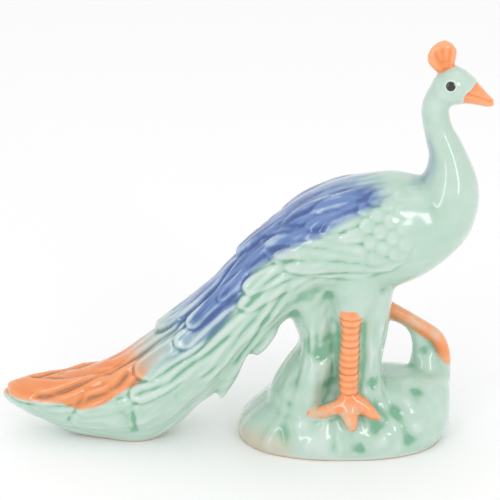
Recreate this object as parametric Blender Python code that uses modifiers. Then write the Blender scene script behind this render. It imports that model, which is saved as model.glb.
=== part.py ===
"""Peacock figurine: a glazed ceramic peacock walking over a rock, cast as one piece.

The bird faces +X, +Z is up and the underside of the rock lies on Z = 0. The origin is
under the middle of the figure's box. Every form is drawn in millimetres, and the main
sizes stretch the whole drawing between the places that they are measured from.
"""

import math

import bmesh
import bpy
import numpy as np
from mathutils import Matrix, Vector

# Main sizes, in millimetres: from the hips to the tip of the train and to the tip of the
# beak, the top of the back over the ground, the crest over the back, and across the rock
TRAIN_LENGTH = 130.6
FRONT_LENGTH = 62.1
BACK_HEIGHT = 112.6
CREST_OVER_BACK = 52.0
ROCK_WIDTH = 53.7

# The same sizes as the tables below draw them, and where the hips are along the bird
DRAWN_TRAIN = 130.6
DRAWN_FRONT = 62.1
DRAWN_BACK = 112.6
DRAWN_CREST = 52.0
DRAWN_WIDTH = 53.7
HIPS = 34.0

# One unit of the drawing, in metres
UNIT = 0.001

# Fineness of the clay and of the finished solid
CLAY_VOXEL = 0.95
RING_SEGMENTS = 28
STEPS_PER_SPAN = 5
SOLID_TRIANGLES = 9600

# Passes of softening: on the whole clay, and on the head alone
SOFTENING = 11
HEAD_SOFTENING = 2

# Share of the thinning that the crest, and that the head and toes, may take
CREST_THINNING = 0.15
SMALL_THINNING = 0.45

# Body, cut across X: x, top z, bottom z, half width
BODY_CUTS = (
    (4.0, 83.0, 70.0, 8.0),
    (15.0, 94.2, 65.0, 15.0),
    (26.0, 103.6, 63.0, 18.0),
    (38.0, 109.2, 62.0, 19.4),
    (50.0, 112.1, 62.8, 19.4),
    (60.0, 113.1, 65.6, 18.8),
    (70.0, 111.0, 70.0, 17.6),
    (78.0, 107.0, 75.6, 15.6),
    (85.0, 102.0, 82.6, 12.0),
    (90.2, 97.5, 90.5, 6.0),
)

# Neck and breast, cut across Z: z, back x, front x, half width
NECK_CUTS = (
    (84.0, 62.0, 87.0, 13.0),
    (91.0, 62.0, 90.8, 15.4),
    (99.8, 65.0, 92.8, 15.4),
    (106.3, 68.5, 92.8, 14.0),
    (112.9, 71.4, 91.1, 11.8),
    (119.3, 72.7, 88.2, 9.6),
    (125.8, 71.2, 84.9, 7.6),
    (132.1, 69.7, 81.2, 6.1),
    (138.5, 69.0, 79.6, 5.6),
    (144.0, 70.4, 82.0, 6.0),
    (148.5, 73.0, 82.0, 5.0),
)

# Head and beak, cut across X: x, top z, bottom z, half width
HEAD_CUTS = (
    (72.4, 148.2, 140.5, 3.6),
    (74.8, 152.2, 139.4, 6.2),
    (77.9, 154.7, 139.6, 7.4),
    (81.5, 155.2, 140.2, 7.4),
    (85.0, 153.6, 140.4, 6.5),
    (88.0, 151.2, 140.1, 5.2),
    (91.0, 148.2, 139.5, 4.0),
    (94.2, 144.6, 138.9, 2.7),
    (96.8, 142.2, 139.4, 1.5),
)

# Train, cut along lines that lean with it: top x, top z, bottom x, bottom z, half width
TRAIN_CUTS = (
    (34.0, 108.0, 31.0, 62.0, 17.5),
    (17.0, 95.2, 17.5, 50.8, 16.6),
    (5.4, 86.0, 9.5, 41.6, 15.8),
    (-6.5, 72.6, -0.4, 32.0, 15.4),
    (-18.5, 60.2, -8.0, 21.0, 15.4),
    (-30.6, 49.8, -17.0, 13.4, 15.4),
    (-38.8, 42.4, -27.0, 3.0, 15.0),
    (-51.0, 33.8, -40.0, -4.6, 14.0),
    (-63.4, 28.8, -54.0, -2.2, 12.4),
    (-75.7, 25.8, -68.0, 0.4, 10.2),
    (-85.6, 24.0, -80.6, 6.4, 7.6),
    (-92.8, 21.4, -90.4, 11.8, 5.0),
    (-97.0, 19.2, -96.8, 16.2, 2.4),
)

# Rock, cut across Z: z, left x, right x, near y, far y
ROCK_CUTS = (
    (-4.0, 1.6, 80.6, -23.2, 24.6),
    (1.5, -0.8, 83.4, -25.2, 26.8),
    (5.0, -0.8, 85.6, -25.6, 27.2),
    (9.0, 1.8, 86.0, -25.0, 26.6),
    (14.0, 7.0, 85.8, -22.8, 24.6),
    (19.0, 12.2, 85.4, -19.2, 21.4),
    (23.2, 16.0, 84.8, -14.8, 17.4),
    (26.0, 20.6, 82.0, -9.8, 12.4),
    (27.8, 27.0, 72.0, -5.0, 7.0),
)

# Pillars of rock under the body, cut across Z: z, x, y, half size in x, half size in y
PILLARS = (
    (
        (68.0, 28.0, -1.6, 11.4, 13.4),
        (54.0, 29.4, -3.0, 8.9, 12.6),
        (43.0, 30.8, -3.4, 7.6, 12.6),
        (32.0, 28.2, -4.0, 10.8, 14.0),
        (20.0, 24.6, -3.0, 13.4, 15.4),
        (10.0, 25.0, -3.0, 12.0, 14.0),
    ),
    (
        (66.0, 40.0, -1.0, 8.0, 13.4),
        (44.0, 40.0, -2.0, 7.0, 12.0),
        (20.0, 40.0, -1.0, 9.0, 12.0),
        (10.0, 40.0, -1.0, 9.0, 12.0),
    ),
    (
        (68.0, 51.6, -2.6, 9.4, 13.2),
        (56.0, 51.7, -3.6, 8.1, 12.6),
        (43.0, 50.8, -4.0, 7.2, 12.4),
        (32.0, 50.4, -4.4, 6.6, 12.6),
        (20.0, 51.0, -4.0, 9.0, 14.4),
        (10.0, 51.0, -4.0, 9.0, 14.0),
    ),
)

# Limbs: x, y, z, radius at each joint
NEAR_THIGH = ((45.0, -8.0, 76.0, 12.0), (44.4, -11.6, 66.0, 9.2), (43.4, -14.2, 58.5, 6.2))
NEAR_SHANK = (
    (43.2, -15.4, 61.0, 3.8),
    (43.2, -16.4, 50.0, 4.3),
    (43.1, -17.4, 38.0, 4.4),
    (42.9, -18.8, 28.0, 3.8),
    (43.2, -19.8, 24.0, 3.4),
)
NEAR_TOES = (
    (
        (43.8, -20.0, 25.5, 3.0),
        (39.4, -20.8, 22.8, 3.0),
        (33.6, -20.0, 20.0, 2.6),
        (28.4, -18.4, 18.0, 1.3),
    ),
    (
        (44.0, -19.8, 25.0, 3.4),
        (43.2, -22.2, 21.0, 3.6),
        (43.9, -24.0, 17.4, 3.1),
        (44.4, -24.8, 15.0, 1.9),
    ),
    (
        (44.8, -20.0, 25.5, 3.0),
        (48.6, -21.0, 22.8, 3.0),
        (52.2, -22.0, 20.0, 2.6),
        (55.4, -22.4, 17.8, 1.3),
    ),
)
FAR_THIGH = ((49.0, 5.0, 74.0, 10.0), (50.6, 6.0, 62.0, 6.8), (55.0, 6.6, 54.4, 4.4))
FAR_SHANK = (
    (57.0, 5.0, 55.6, 2.9),
    (65.0, 5.0, 51.0, 2.8),
    (73.0, 5.0, 46.0, 2.8),
    (80.3, 5.0, 40.4, 2.9),
    (83.3, 5.0, 32.6, 2.8),
    (83.6, 5.0, 25.0, 2.8),
    (83.2, 5.0, 17.0, 3.2),
)
ROCK_WEB = (
    (55.0, 7.4, 52.0, 5.0),
    (62.0, 7.4, 49.2, 3.0),
    (69.6, 7.4, 44.8, 2.8),
    (74.6, 7.0, 36.0, 4.6),
    (76.6, 5.6, 24.0, 7.0),
)

# Crest fan: its root, and the lean in degrees and the reach of each lobe
CREST_ROOT = (77.6, 0.0, 152.6)
CREST_STEM_RADIUS = 1.9
CREST_WAIST_RADIUS = 2.4
CREST_LOBES = ((138.0, 9.4), (117.0, 11.5), (96.0, 12.6), (76.0, 10.6))
CREST_LOBE_RADIUS = 2.5
CREST_WAIST = 0.6

# How square the rock is, seen from above
ROCK_FULLNESS = 2.35

# Tufts that hang under each side of the train: x, y, z, radius
TRAIN_TUFTS = (
    (
        (0.0, 7.0, 42.0, 4.0),
        (-3.4, 7.0, 31.0, 3.6),
        (-6.6, 7.0, 23.0, 2.4),
        (-7.4, 7.0, 19.6, 1.4),
    ),
    ((11.6, 7.0, 50.0, 4.0), (8.4, 7.0, 43.0, 3.2), (6.8, 7.0, 39.4, 2.0)),
)

# The line of feathers from the breast to the tip of the train: x, z, half height, half width
SPINE = (
    (92.0, 96.0, 6.0, 7.0),
    (85.0, 92.6, 11.0, 12.6),
    (78.0, 91.0, 16.0, 15.6),
    (70.0, 90.4, 20.4, 17.6),
    (60.0, 89.2, 23.6, 18.8),
    (50.0, 87.4, 24.6, 19.4),
    (40.0, 85.0, 24.0, 19.0),
    (29.0, 80.6, 23.4, 17.6),
    (17.4, 73.2, 22.6, 16.6),
    (7.5, 63.6, 22.6, 15.8),
    (-3.5, 51.6, 21.8, 15.4),
    (-13.2, 39.8, 21.4, 15.4),
    (-23.8, 31.2, 20.2, 15.4),
    (-32.9, 22.8, 20.4, 15.0),
    (-45.5, 15.0, 19.6, 14.0),
    (-58.7, 13.4, 16.2, 12.4),
    (-71.9, 13.2, 13.6, 10.2),
    (-83.1, 15.2, 9.6, 7.6),
    (-91.6, 16.6, 5.6, 4.8),
    (-98.0, 17.8, 2.0, 2.0),
)

# Feathers of the train, each laid over the ones before it: root along the spine and round the
# form, tip along and round, width, lift
TRAIN_FEATHERS = (
    (167.0, 2.8, 215.2, -0.8, 15.0, 0.7),
    (155.5, 13.2, 205.4, 1.2, 7.5, 1.1),
    (132.9, 18.7, 215.5, 4.8, 10.0, 1.2),
    (139.3, -6.7, 188.9, 0.7, 18.0, 0.8),
    (151.6, 7.9, 185.9, 2.5, 7.0, 1.1),
    (122.9, -2.9, 165.7, -4.6, 13.0, 0.7),
    (116.0, -0.1, 159.6, 5.2, 6.5, 1.1),
    (112.1, 8.6, 152.0, 11.8, 9.5, 1.3),
    (98.0, 27.0, 136.0, 27.0, 13.0, 1.2),
    (101.7, -3.0, 144.8, -6.7, 10.0, 0.6),
    (82.5, -3.6, 127.0, -12.3, 10.0, 0.6),
    (92.5, 8.5, 130.7, 11.4, 7.5, 1.3),
    (86.1, 12.0, 119.4, 13.9, 7.0, 1.3),
    (84.1, 14.6, 103.0, 11.4, 4.6, 0.9),
    (58.0, 31.0, 88.0, 30.0, 14.0, 1.2),
    (76.1, -0.5, 98.8, 3.9, 6.0, 0.9),
    (70.2, 2.8, 93.0, 7.4, 6.5, 1.2),
)

# Creases between the feathers of the train: depth, height of the lip above, height of the lip
# below, then places along the spine and round the form
CREASES = (
    (
        (1.1, 0.5, 0.7),
        (82.0, 25.2),
        (90.1, 23.8),
        (101.3, 19.8),
        (115.1, 18.8),
        (127.0, 17.2),
        (137.3, 17.9),
        (149.0, 18.6),
        (158.0, 18.2),
        (175.6, 15.6),
        (192.5, 8.1),
        (205.0, 2.6),
    ),
    ((0.9, 0.7, 0.2), (152.6, 14.6), (161.3, 11.7), (169.9, 10.0), (179.2, 6.8), (185.6, 3.0)),
    ((0.8, 0.0, 0.0), (179.6, 10.6), (183.1, 6.7), (185.4, 3.3), (188.1, -0.1), (191.1, -5.9)),
    ((0.6, 0.4, 0.4), (76.0, 4.2), (87.9, 3.8), (95.7, 2.8), (110.2, 4.0), (121.0, 5.0)),
    (
        (0.7, 0.5, 0.2),
        (108.0, -0.6),
        (115.3, 0.4),
        (128.6, 2.2),
        (141.0, 1.7),
        (153.0, 4.6),
        (160.0, 5.2),
    ),
    ((0.6, 0.3, 0.3), (76.0, -1.2), (88.6, -4.0), (98.8, -6.5), (109.6, -10.0), (121.0, -11.4)),
    ((0.5, 0.3, 0.3), (87.0, -0.6), (100.2, -2.7), (110.0, -3.9), (120.1, -4.2), (134.0, -4.6)),
    ((0.9, 0.0, 0.0), (161.0, 3.0), (163.6, -2.4), (165.5, -9.0)),
    ((0.6, 0.0, 0.0), (138.6, 26.4), (133.5, 20.8), (125.0, 19.6)),
)
# A crease's form: its width, its lips' distance and width, and the length in which it fades
CREASE_WIDTH = 0.9
CREASE_LIP = 2.1
CREASE_LIP_WIDTH = 1.2
CREASE_FADE = 5.0

# Feathers of the wing, in the same terms
WING_FEATHERS = (
    (35.2, -6.3, 75.7, 4.1, 6.5, 1.2),
    (38.3, -2.7, 76.4, 10.7, 6.0, 1.1),
    (42.6, 1.2, 77.3, 17.5, 6.0, 1.1),
    (49.2, 5.7, 77.3, 25.8, 5.5, 1.1),
    (49.6, 12.6, 73.3, 24.4, 6.0, 1.1),
    (56.3, 11.1, 68.3, 13.1, 5.0, 0.8),
    (50.2, 15.4, 62.6, 13.8, 5.5, 0.8),
    (45.3, 12.5, 57.1, 11.3, 5.5, 0.8),
    (40.0, 6.9, 53.0, 7.0, 5.5, 0.8),
    (49.0, 26.4, 68.7, 21.5, 6.0, 1.1),
    (41.6, 23.4, 59.4, 19.0, 6.0, 1.1),
)

# A feather's form: softness of its edge, groove beside it as a share of its lift, share of its
# length that fades in, lift at its root and fall towards its edge as shares of its lift, the
# round tip's length as a share of its width, and the most of its length that the tip takes
FEATHER_EDGE = 1.1
FEATHER_GROOVE = 0.6
FEATHER_ROOT = 0.3
FEATHER_ROOT_LIFT = 0.3
FEATHER_CROWN = -0.4
FEATHER_TIP = 0.75
FEATHER_TIP_MOST = 0.8

# Shoulder scales, in rows from the wing's feathers forward
SCALE_ROWS = 4
SCALES_IN_ROW = 4
SCALE_START = 41.5
SCALE_LOW = -2.0
SCALE_PITCH = 4.3
SCALE_LENGTH = 7.4
SCALE_WIDTH = 5.9
SCALE_LIFT = 0.55
SCALE_LEAN = 0.5
SCALE_CROWN = 0.4

# Outline of the folded wing: along, lower edge round, upper edge round
WING_OUTLINE = (
    (24.0, 8.0, 12.0),
    (26.0, 2.0, 18.0),
    (30.3, -5.9, 22.0),
    (37.2, -9.1, 24.5),
    (44.5, -8.3, 25.5),
    (53.2, -7.0, 26.0),
    (61.3, -5.6, 25.0),
    (68.5, -2.6, 24.0),
    (74.6, 2.6, 25.0),
    (78.0, 10.0, 24.0),
    (80.0, 18.0, 20.0),
)
WING_LIFT = 0.9
WING_EDGE = 1.6
WING_TOP_EDGE = 6.0
WING_FRONT = 13.0
WING_GROOVE = 0.5
WING_CROWN = 0.0

# Plumage fades out from the spine's own form, and just above the ground
PLUMAGE_REACH = 1.42
PLUMAGE_FADE = 0.2
PLUMAGE_GROUND = (1.0, 5.0)

# Hollows in the rock, and swells where the depth is less than 0: x, y, z, radius, depth
HOLLOWS = (
    (32.2, -15.5, 42.3, 4.2, 2.4),
    (34.0, -14.6, 48.0, 6.0, 0.9),
    (35.3, -14.5, 28.6, 4.2, 1.2),
    (53.3, -15.9, 29.7, 4.0, 1.6),
    (20.2, -14.5, 29.9, 5.4, 1.4),
    (17.8, -15.7, 20.3, 5.4, 1.5),
    (17.8, -19.8, 9.1, 5.0, 1.6),
    (53.8, -23.3, 13.0, 4.4, 1.4),
    (62.2, -18.2, 18.5, 5.2, 1.8),
    (67.6, -20.9, 7.4, 5.0, 2.0),
    (47.8, -25.1, 6.0, 4.4, 1.3),
    (70.8, -10.0, 24.1, 5.0, 1.7),
    (75.0, 3.6, 35.2, 3.8, 1.4),
    (66.6, -16.0, 21.6, 3.6, -0.9),
    (70.6, -19.6, 12.4, 4.6, -1.2),
    (56.4, -23.6, 8.6, 5.0, -1.0),
    (30.6, -24.6, 7.4, 6.0, -1.0),
    (24.4, -20.0, 14.6, 5.0, -1.0),
    (10.8, -19.0, 4.6, 5.0, -1.0),
)

# Upright grooves in the pillars: x and z at the top, x and z at the bottom, width, depth
FLUTES = (
    (38.6, 62.0, 36.8, 40.0, 1.5, 0.8),
    (31.4, 62.0, 29.8, 46.0, 1.6, 0.6),
    (25.4, 58.0, 22.6, 30.0, 2.0, 0.6),
    (48.4, 61.0, 48.0, 33.0, 1.5, 0.8),
    (54.6, 60.0, 53.4, 42.0, 1.8, 0.6),
)
FLUTE_FADE = 5.0

# Grooves between the scales of the near leg
RINGS_FROM = 26.0
RINGS_TO = 61.0
RING_PITCH = 2.8
RING_DEPTH = 0.4
RING_REACH = 6.0
RING_BACK = 2.0
RING_SHARPNESS = 1.5

# Toes, for the thinning: from and to z, and before y
TOES_FROM = 13.0
TOES_TO = 30.0
TOES_BEFORE = -14.0

# Head: beak, mouth and eyes
HEAD_FROM = 135.0
BEAK_START = 83.0
BEAK_STEP = 0.3
MOUTH_LINE = ((84.6, 146.4), (95.4, 141.8))
MOUTH_DEPTH = 0.35
MOUTH_WIDTH = 0.6
EYE = (78.8, 7.1, 149.3)
EYE_RADIUS = 1.9
EYE_EDGE = 0.6
EYE_LIFT = 0.4

# Glaze
GLAZE_COLOUR = (0.55, 0.76, 0.62, 1.0)
GLAZE_ROUGHNESS = 0.12


def spline_rows(rows, steps=STEPS_PER_SPAN):
    """Rows of numbers made finer by a smooth curve through them."""
    points = np.array(rows, float)
    padded = np.vstack((2 * points[0] - points[1], points, 2 * points[-1] - points[-2]))
    finer = []
    for span in range(len(points) - 1):
        before, start, end, after = padded[span : span + 4]
        for step in range(steps):
            t = step / steps
            line = 2 * start + (end - before) * t
            bend = (2 * before - 5 * start + 4 * end - after) * t**2
            twist = (3 * start - before - 3 * end + after) * t**3
            finer.append((line + bend + twist) / 2)
    finer.append(points[-1])
    return finer


def oval(centre, side, rise):
    """The matrix that carries a unit circle to an oval with these half axes."""
    across = side.cross(rise).normalized()
    turn = Matrix((side, rise, across)).transposed().to_4x4()
    return Matrix.Translation(centre) @ turn


def loft(clay, ovals, fullness=2.0):
    """Adds a closed skin through a row of ovals to the clay. Fullness 2 leaves them true ovals."""
    rings = []
    for matrix in ovals:
        ring = bmesh.ops.create_circle(clay, segments=RING_SEGMENTS, radius=1.0)["verts"]
        for vertex in ring:
            for axis in (0, 1):
                reach = vertex.co[axis]
                vertex.co[axis] = math.copysign(abs(reach) ** (2.0 / fullness), reach)
            vertex.co = matrix @ vertex.co
        rings.append(ring)
    for first, second in zip(rings, rings[1:]):
        for i, vertex in enumerate(first):
            j = (i + 1) % RING_SEGMENTS
            clay.faces.new((vertex, first[j], second[j], second[i]))
    clay.faces.new(rings[0][::-1])
    clay.faces.new(rings[-1])


def cuts_across_x(clay, cuts):
    """A form given by its top and bottom along the bird's length."""
    ovals = []
    for x, top, bottom, half_width in spline_rows(cuts):
        rise = Vector((0, 0, (top - bottom) / 2))
        ovals.append(oval(Vector((x, 0, (top + bottom) / 2)), Vector((0, half_width, 0)), rise))
    loft(clay, ovals)


def cuts_across_z(clay, cuts):
    """A form given by its back and front at each height."""
    ovals = []
    for z, back, front, half_width in spline_rows(cuts):
        side = Vector(((front - back) / 2, 0, 0))
        ovals.append(oval(Vector(((back + front) / 2, 0, z)), side, Vector((0, half_width, 0))))
    loft(clay, ovals)


def train(clay):
    """The long train, on cuts that lean with the feathers."""
    ovals = []
    for top_x, top_z, bottom_x, bottom_z, half_width in spline_rows(TRAIN_CUTS):
        top = Vector((top_x, 0, top_z))
        bottom = Vector((bottom_x, 0, bottom_z))
        ovals.append(oval((top + bottom) / 2, Vector((0, half_width, 0)), (top - bottom) / 2))
    loft(clay, ovals)


def rock(clay):
    """The mound that the bird walks over."""
    ovals = []
    for z, left, right, near, far in spline_rows(ROCK_CUTS):
        centre = Vector(((left + right) / 2, (near + far) / 2, z))
        side = Vector(((right - left) / 2, 0, 0))
        ovals.append(oval(centre, side, Vector((0, (far - near) / 2, 0))))
    loft(clay, ovals, ROCK_FULLNESS)


def pillar(clay, cuts):
    """One pillar of rock that carries the body."""
    ovals = []
    for z, x, y, half_x, half_y in spline_rows(cuts):
        ovals.append(oval(Vector((x, y, z)), Vector((half_x, 0, 0)), Vector((0, half_y, 0))))
    loft(clay, ovals)


def limb(clay, joints):
    """A round limb through its joints, with a ball at each end."""
    rows = [Vector(row) for row in spline_rows(joints)]
    ovals = []
    for i, row in enumerate(rows):
        ahead = rows[min(i + 1, len(rows) - 1)].xyz - rows[max(i - 1, 0)].xyz
        turn = ahead.to_track_quat("Z", "Y")
        radius = row[3]
        ovals.append(oval(row.xyz, turn @ Vector((radius, 0, 0)), turn @ Vector((0, radius, 0))))
    loft(clay, ovals)
    for row in (rows[0], rows[-1]):
        place = Matrix.Translation(row.xyz)
        bmesh.ops.create_icosphere(clay, subdivisions=2, radius=row[3], matrix=place)


def crest(clay):
    """The fan of lobes on the head."""
    root = Vector(CREST_ROOT)
    for lean, reach in CREST_LOBES:
        angle = math.radians(lean)
        away = Vector((math.cos(angle), 0, math.sin(angle)))
        tip = root + away * (reach - CREST_LOBE_RADIUS)
        waist = root.lerp(tip, CREST_WAIST)
        stem = (*root, CREST_STEM_RADIUS)
        limb(clay, (stem, (*waist, CREST_WAIST_RADIUS), (*tip, CREST_LOBE_RADIUS)))


def shape_clay():
    """All the forms of the figure, one through another."""
    clay = bmesh.new()
    cuts_across_x(clay, BODY_CUTS)
    cuts_across_z(clay, NECK_CUTS)
    cuts_across_x(clay, HEAD_CUTS)
    crest(clay)
    train(clay)
    rock(clay)
    for cuts in PILLARS:
        pillar(clay, cuts)
    for joints in (NEAR_THIGH, NEAR_SHANK, *NEAR_TOES, FAR_THIGH, FAR_SHANK, ROCK_WEB):
        limb(clay, joints)
    for joints in TRAIN_TUFTS:
        for side in (1, -1):
            limb(clay, [(x, side * y, z, radius) for x, y, z, radius in joints])
    bmesh.ops.recalc_face_normals(clay, faces=clay.faces)
    return clay


def spine_table():
    """The spine made fine, with the distance along it as a last column."""
    rows = np.array(spline_rows(SPINE))
    steps = np.hypot(np.diff(rows[:, 0]), np.diff(rows[:, 1]))
    return np.column_stack((rows, np.concatenate(((0.0,), np.cumsum(steps)))))


def feather_coordinates(points):
    """Distance along the spine, distance up the side round the form, and 1 on the form's own skin."""
    table = spine_table()
    best = np.full(len(points), np.inf)
    along, around, nearness = np.zeros((3, len(points)))
    for start, end in zip(table, table[1:]):
        run = end[:2] - start[:2]
        length = np.hypot(*run)
        away = points[:, (0, 2)] - start[:2]
        t = np.clip(away @ run / length**2, 0.0, 1.0)
        miss = away - t[:, None] * run
        distance = np.hypot(miss[:, 0], miss[:, 1])
        nearer = distance < best
        best[nearer] = distance[nearer]
        height, width = start[2:4, None] + (end - start)[2:4, None] * t
        up = np.sign(miss[:, 0] * run[1] - miss[:, 1] * run[0])
        angle = np.arctan2(up * distance / height, np.abs(points[:, 1]) / width)
        along[nearer] = (start[4] + t * length)[nearer]
        around[nearer] = (angle * (height + width) / 2)[nearer]
        nearness[nearer] = np.hypot(distance / height, points[:, 1] / width)[nearer]
    return along, around, nearness


def soft_step(values):
    """From 0 at or below 0 to 1 at or above 1, with soft ends."""
    t = np.clip(values, 0.0, 1.0)
    return t * t * (3.0 - 2.0 * t)


def lay_feather(relief, along, around, feather):
    """Lays one round-ended feather over the relief, with a groove round its edge."""
    root_s, root_a, tip_s, tip_a, width, lift, crown = feather
    length = math.hypot(tip_s - root_s, tip_a - root_a)
    run = np.array((tip_s - root_s, tip_a - root_a)) / length
    t = ((along - root_s) * run[0] + (around - root_a) * run[1]) / length
    across = (around - root_a) * run[0] - (along - root_s) * run[1]
    half = width / 2
    tip_start = 1.0 - min(FEATHER_TIP_MOST, FEATHER_TIP * width / length)
    outline = np.maximum((t - tip_start) / (1.0 - tip_start), 0.0) ** 2 + (across / half) ** 2
    inside = (1.0 - np.sqrt(outline)) * half
    shown = soft_step(t / FEATHER_ROOT)
    groove = FEATHER_GROOVE * lift * np.exp(-(inside**2)) * (inside < 0) * shown
    rise = FEATHER_ROOT_LIFT + (1.0 - FEATHER_ROOT_LIFT) * t
    body = lift * rise * (1.0 - crown * np.clip(outline, 0.0, 1.0))
    cover = soft_step(inside / FEATHER_EDGE + 0.5) * shown
    return (relief - groove) * (1.0 - cover) + body * cover


def creases(along, around):
    """Height of the lips along the creases, less the creases."""
    places = np.column_stack((along, around))
    heights = np.zeros(len(places))
    for (depth, lip_above, lip_below), *line in CREASES:
        points = np.array(line)
        best = np.full(len(places), np.inf)
        across, reached = np.zeros((2, len(places)))
        walked = 0.0
        for start, end in zip(points, points[1:]):
            run = end - start
            length = np.hypot(*run)
            away = places - start
            t = np.clip(away @ run / length**2, 0.0, 1.0)
            distance = np.linalg.norm(away - t[:, None] * run, axis=1)
            nearer = distance < best
            best[nearer] = distance[nearer]
            side = np.sign(away[:, 1] * run[0] - away[:, 0] * run[1])
            across[nearer] = (side * distance)[nearer]
            reached[nearer] = (walked + t * length)[nearer]
            walked += length
        shown = soft_step(reached / CREASE_FADE) * soft_step((walked - reached) / CREASE_FADE)
        lip = np.where(across > 0, lip_above, lip_below)
        raised = lip * np.exp(-(((best - CREASE_LIP) / CREASE_LIP_WIDTH) ** 2))
        heights += (raised - depth * np.exp(-((best / CREASE_WIDTH) ** 2))) * shown
    return heights


def shoulder_scales():
    """Rows of scales from the wing's feathers forward to the shoulder, each row half a scale on."""
    for row in range(SCALE_ROWS):
        middle = SCALE_START - row * SCALE_PITCH
        for place in range(SCALES_IN_ROW):
            around = SCALE_LOW + SCALE_WIDTH * (place + 0.5 * (row % 2))
            half = SCALE_LENGTH / 2
            ends = (middle - half, around + SCALE_LEAN, middle + half, around - SCALE_LEAN)
            yield *ends, SCALE_WIDTH, SCALE_LIFT, SCALE_CROWN


def plumage(along, around):
    """Height of the carved plumage over the smooth form."""
    under = np.zeros(len(along))
    for feather in TRAIN_FEATHERS:
        under = lay_feather(under, along, around, (*feather, FEATHER_CROWN))
    under += creases(along, around)
    outline = np.array(WING_OUTLINE)
    from_low = around - np.interp(along, outline[:, 0], outline[:, 1])
    from_high = np.interp(along, outline[:, 0], outline[:, 2]) - around
    reach = soft_step((along - outline[0, 0]) / WING_FRONT)
    reach *= soft_step((outline[-1, 0] - along) / WING_EDGE)
    wing = soft_step(from_low / WING_EDGE + 0.5) * soft_step(from_high / WING_TOP_EDGE + 0.5)
    wing *= reach
    under -= WING_GROOVE * np.exp(-(from_low**2)) * (from_low < 0) * reach
    over = np.zeros(len(along))
    for feather in WING_FEATHERS:
        over = lay_feather(over, along, around, (*feather, WING_CROWN))
    for scale in shoulder_scales():
        over = lay_feather(over, along, around, scale)
    return under * (1.0 - wing) + (WING_LIFT + over) * wing


def hollows(points):
    """Depth of the hollows in the rock, which the far side repeats."""
    x, y, z = points.T
    depths = np.zeros(len(points))
    for cx, cy, cz, radius, depth in HOLLOWS:
        for side in (1, -1):
            away = (x - cx) ** 2 + (y - side * cy) ** 2 + (z - cz) ** 2
            depths += depth * np.exp(-2.0 * away / radius**2)
    return depths


def flutes(points):
    """Depth of the upright grooves in both sides of the pillars."""
    x, _, z = points.T
    depths = np.zeros(len(points))
    for top_x, top_z, bottom_x, bottom_z, width, depth in FLUTES:
        across = (x - np.interp(z, (bottom_z, top_z), (bottom_x, top_x))) / width
        shown = soft_step((z - bottom_z) / FLUTE_FADE) * soft_step((top_z - z) / FLUTE_FADE)
        depths += depth * np.exp(-(across**2)) * shown
    return depths


def leg_rings(points):
    """Depth of the grooves between the scales round the near leg."""
    x, y, z = points.T
    shank = np.array(NEAR_SHANK)[::-1]
    axis_x = np.interp(z, shank[:, 2], shank[:, 0])
    axis_y = np.interp(z, shank[:, 2], shank[:, 1])
    on_front = soft_step(axis_y + RING_BACK - y)
    on_leg = soft_step(RING_REACH - np.hypot(x - axis_x, y - axis_y)) * on_front
    on_leg *= soft_step(z - RINGS_FROM) * soft_step(RINGS_TO - z)
    ring = (1.0 - np.abs(np.sin(np.pi * z / RING_PITCH))) ** RING_SHARPNESS
    return RING_DEPTH * ring * on_leg


def face(points):
    """Height of the eyes, less the step at the beak and the line of the mouth."""
    x, y, z = points.T
    head = z > HEAD_FROM
    (x0, z0), (x1, z1) = MOUTH_LINE
    from_mouth = z - z0 - (x - x0) * (z1 - z0) / (x1 - x0)
    mouth = MOUTH_DEPTH * np.exp(-((from_mouth / MOUTH_WIDTH) ** 2)) * soft_step(x - x0)
    beak = BEAK_STEP * soft_step(x - BEAK_START)
    cx, cy, cz = EYE
    from_eye = np.sqrt((x - cx) ** 2 + (np.abs(y) - cy) ** 2 + (z - cz) ** 2) / EYE_RADIUS
    eye = EYE_LIFT * soft_step((1.0 - from_eye) / EYE_EDGE + 0.5)
    return eye - (mouth + beak) * head


def carving(points):
    """Height of all the carving at these points of the smooth clay."""
    along, around, nearness = feather_coordinates(points)
    low, high = PLUMAGE_GROUND
    off_ground = soft_step((points[:, 2] - low) / (high - low))
    on_bird = soft_step((PLUMAGE_REACH - nearness) / PLUMAGE_FADE) * off_ground
    dug = hollows(points) + flutes(points) + leg_rings(points)
    return plumage(along, around) * on_bird - dug + face(points)


def apply_modifiers(figure):
    """Replaces the figure's mesh by the one that its modifiers make."""
    graph = bpy.context.evaluated_depsgraph_get()
    made = bpy.data.meshes.new_from_object(figure.evaluated_get(graph))
    figure.modifiers.clear()
    figure.data = made


def fuse(figure):
    """Makes one skin of the forms that run through another."""
    skin = figure.modifiers.new("one skin", "REMESH")
    skin.mode = "VOXEL"
    skin.voxel_size = CLAY_VOXEL
    apply_modifiers(figure)


def soften_and_carve(figure):
    """Rounds the joints between the forms as glaze does, then raises and cuts the carving."""
    clay = bmesh.new()
    clay.from_mesh(figure.data)
    softened = {"factor": 0.5, "use_axis_x": True, "use_axis_y": True, "use_axis_z": True}
    below_head = [vertex for vertex in clay.verts if vertex.co.z < HEAD_FROM]
    for _ in range(SOFTENING - HEAD_SOFTENING):
        bmesh.ops.smooth_vert(clay, verts=below_head, **softened)
    for _ in range(HEAD_SOFTENING):
        bmesh.ops.smooth_vert(clay, verts=clay.verts, **softened)
    clay.normal_update()
    heights = carving(np.array([vertex.co for vertex in clay.verts]))
    for vertex, height in zip(clay.verts, heights):
        vertex.co += vertex.normal * height
    clay.to_mesh(figure.data)
    clay.free()


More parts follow.
